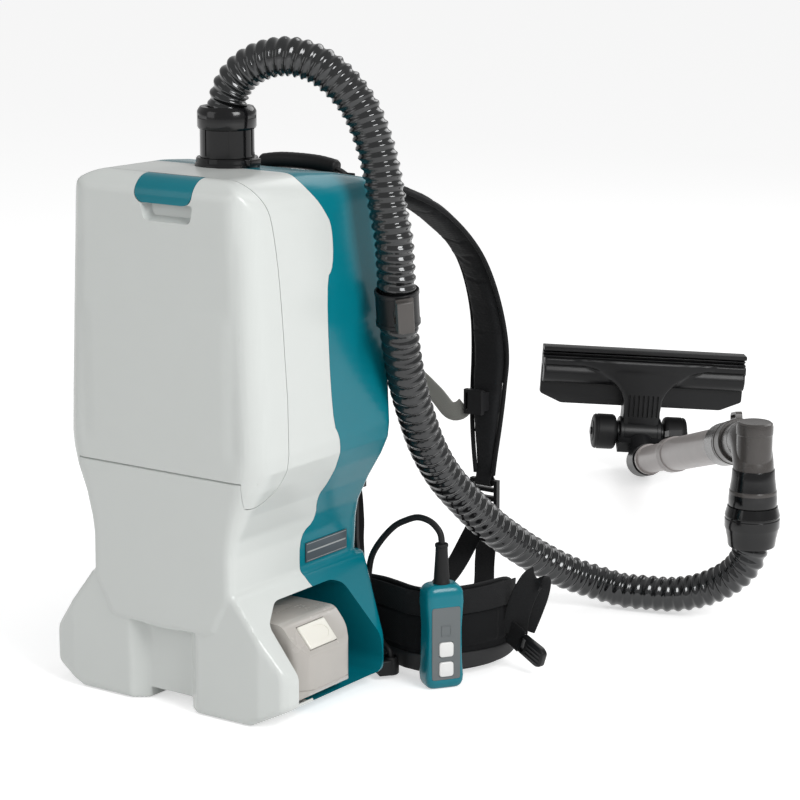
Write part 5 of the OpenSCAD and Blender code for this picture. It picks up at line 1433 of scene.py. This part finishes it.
def buckles(side, name):
    """Ribbed buckle or tongue at the belt's end, and the loop of webbing beside it."""
    outline = soft_corners([(0.2, -10), (28, -10.8), (33.8, -7.5), (33.8, 7.5), (28, 10.8), (0.2, 10)], 2.5)
    block = softened(prism(outline, -3.4, 3.4, "y"), 1.2, 40)
    for z in (-6.2, -2.1, 2.1, 6.2):
        union(block, softened(slab(10.5, 31, -4.0, 4.0, z - 1.1, z + 1.1), 0.7, 40, 2))
    cut(block, slab(3.4, 7.4, -6, 6, -7.8, 7.8))
    in_place(block, shifted(222, 181, 29) @ spun(-14, "Z") @ spun(20, "Y"))
    if side < 0:
        mirror_object(block)
    taken(block, "side_buckle_" + name, "root", BLACK, sharp=30, slot="black_plastic",
          replaces=("belt_buckle" if side > 0 else "belt_tongue",))
    loop = band([(210, 188, 34), (213, 186, 52), (220, 184.5, 72), (229, 184, 89), (234, 185.5, 95.5), (236, 189.5, 92),
                 (231, 193, 76), (223, 194, 56), (216, 193, 38)], 25, 1.8, (0.8, 0.56, -0.22), 70, 0.4, 12)
    new_piece("belt_loop_" + name, on_side(loop, side), "root", WEBBING, sharp=50, slot="fabric")


def hose_clip():
    """Clamp round the hose, and the catch with a finger hole that stands on it."""
    way = Vector((4, -11, 60)).normalized()
    place = (shifted(145.6, 74.3, 378) @ Matrix.Rotation(math.atan2(way.y, way.x), 4, "Z")
             @ Matrix.Rotation(math.acos(way.z), 4, "Y"))

    def rod(r):
        return lathe([(0, -30), (r, -30), (r, 30), (0, 30)], segments=96)

    clamp = lathe([(19.5, -17.4), (21.1, -17.4), (21.6, -16.8), (21.6, -13.4), (20.9, -12.8), (20.9, 12.8),
                   (21.6, 13.4), (21.6, 16.8), (21.1, 17.4), (19.5, 17.4)], segments=96, closed=True)
    clamp = union(clamp, softened(moved(slab(19.8, 24.4, -5, 5, -15, 15), spun(200, "Z")), 1.0))
    clamp_piece = taken(in_place(cut(clamp, rod(19.5)), place), "hose_clamp", "root", BLACK, sharp=30,
                        slot="black_plastic", replaces=("hose_band",))
    web = soft_corners([(14, -4), (19, -11), (30, -15), (34.4, -15), (34.4, 15.6), (30, 15.6)], 2)
    plate = softened(prism(web, -10.4, -7.4, "y"), 0.8, 40, 2)
    cut(plate, cylinder_y(24.4, -3.5, 4.4, -20, 0))
    base = softened(slab(21.75, 25, -9, 9, -15.8, 15.8), 0.8, 40, 2)
    bar = softened(slab(30.6, 34.5, -9, 6, -15.8, 15.8), 1.4, 40)
    foot = softened(slab(24, 32, 3, 6, -12, 10), 0.8, 40, 2)
    cut(union(plate, base, union(bar, foot)), rod(21.75))
    catch_piece = taken(in_place(plate, place @ spun(32, "Z")), "hose_catch", "root", SLIDE, sharp=30,
                        slot="dark_plastic", replaces=("hose_hook",))
    return clamp_piece, catch_piece


def plate_trim():
    """A stripe and two thin lines on the rating plate."""
    low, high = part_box("rating_plate")
    face = high[0] / MM
    y0, y1, z0, z1 = low[1] / MM, high[1] / MM, low[2] / MM, high[2] / MM
    lines = joined(slab(face - 0.3, face + 0.15, y0 + 2, y1 - 2, z0 + 9.2, z0 + 10.6),
                   slab(face - 0.3, face + 0.12, y0 + 1, y1 - 1, z0 + 0.9, z0 + 1.4),
                   slab(face - 0.3, face + 0.12, y0 + 1, y1 - 1, z1 - 1.4, z1 - 0.9))
    new_piece("plate_line", lines, "root", STRIPE, slot="steel")


def filter_bag():
    """Fleece bag: lofted, blown up a little, with folds down its sides."""
    low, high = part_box("dust_bag")
    z0, z1 = low[2] / MM + 2, high[2] / MM - 1.5
    rings = []
    for z in np.linspace(z0, z1, 36):
        w = np.interp(z, [z0, z0 + 16, z0 + 60, z1 - 70, z1 - 24, z1], [54, 76, 82, 82, 62, 44])
        d = np.interp(z, [z0, z0 + 14, z1 - 60, z1 - 20, z1], [56, 70, 74, 60, 42])
        points = [squared(a, w, d, 0.6, 0.6) for a in turn_of(64)]
        rings.append([(x, -3 + y, z) for x, y in points])

    def depth(points):
        side = np.abs(points[:, 0]) > 40
        folds = sum(crease(points[:, 1] - y, 2.2, 2.6) for y in (-34, -3, 28)) * side
        return folds + ripple(points, 1.2, 22.0, 31) + crease(points[:, 2] - z0 - 22, 2.0, 1.4)

    made = pressed(puffed(facing(skin(rings)), voxel=6.0), depth)
    taken(made, "filter_bag", "root", PAPER, sharp=0, slot="paper", replaces=("dust_bag",))


for side, side_name in SIDES:
    buckles(side, side_name)
clamp_piece, catch_piece = hose_clip()
plate_trim()
filter_bag()

# ------------------------------------------------------------ CAD nodes that stay, in better materials

KEPT = {
    RUBBER: ("lid_gasket", "motor_mounts"),
    STEEL: ("latch_pin", "fan_impeller", "housing_screws"),
    CARD: ("bag_collar",),
    DARK: ("prefilter", "motor_housing"),
    PAPER: ("hepa_filter",),
    BOARD: ("control_board",),
    WHITE: ("exhaust_grilles",),
    PLATE: ("rating_plate",),
    BLACK: ("battery_trays", "harness_plate", "ladder_buckles", "sternum_slider", "pipe_lock", "nozzle_neck"),
    BENT: ("bent_pipe",),
    BRISTLE: ("nozzle_brushes",),
}
for paint, node_names in KEPT.items():
    for node_name in node_names:
        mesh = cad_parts[node_name].data
        for number in range(len(mesh.materials)):
            mesh.materials[number] = paint
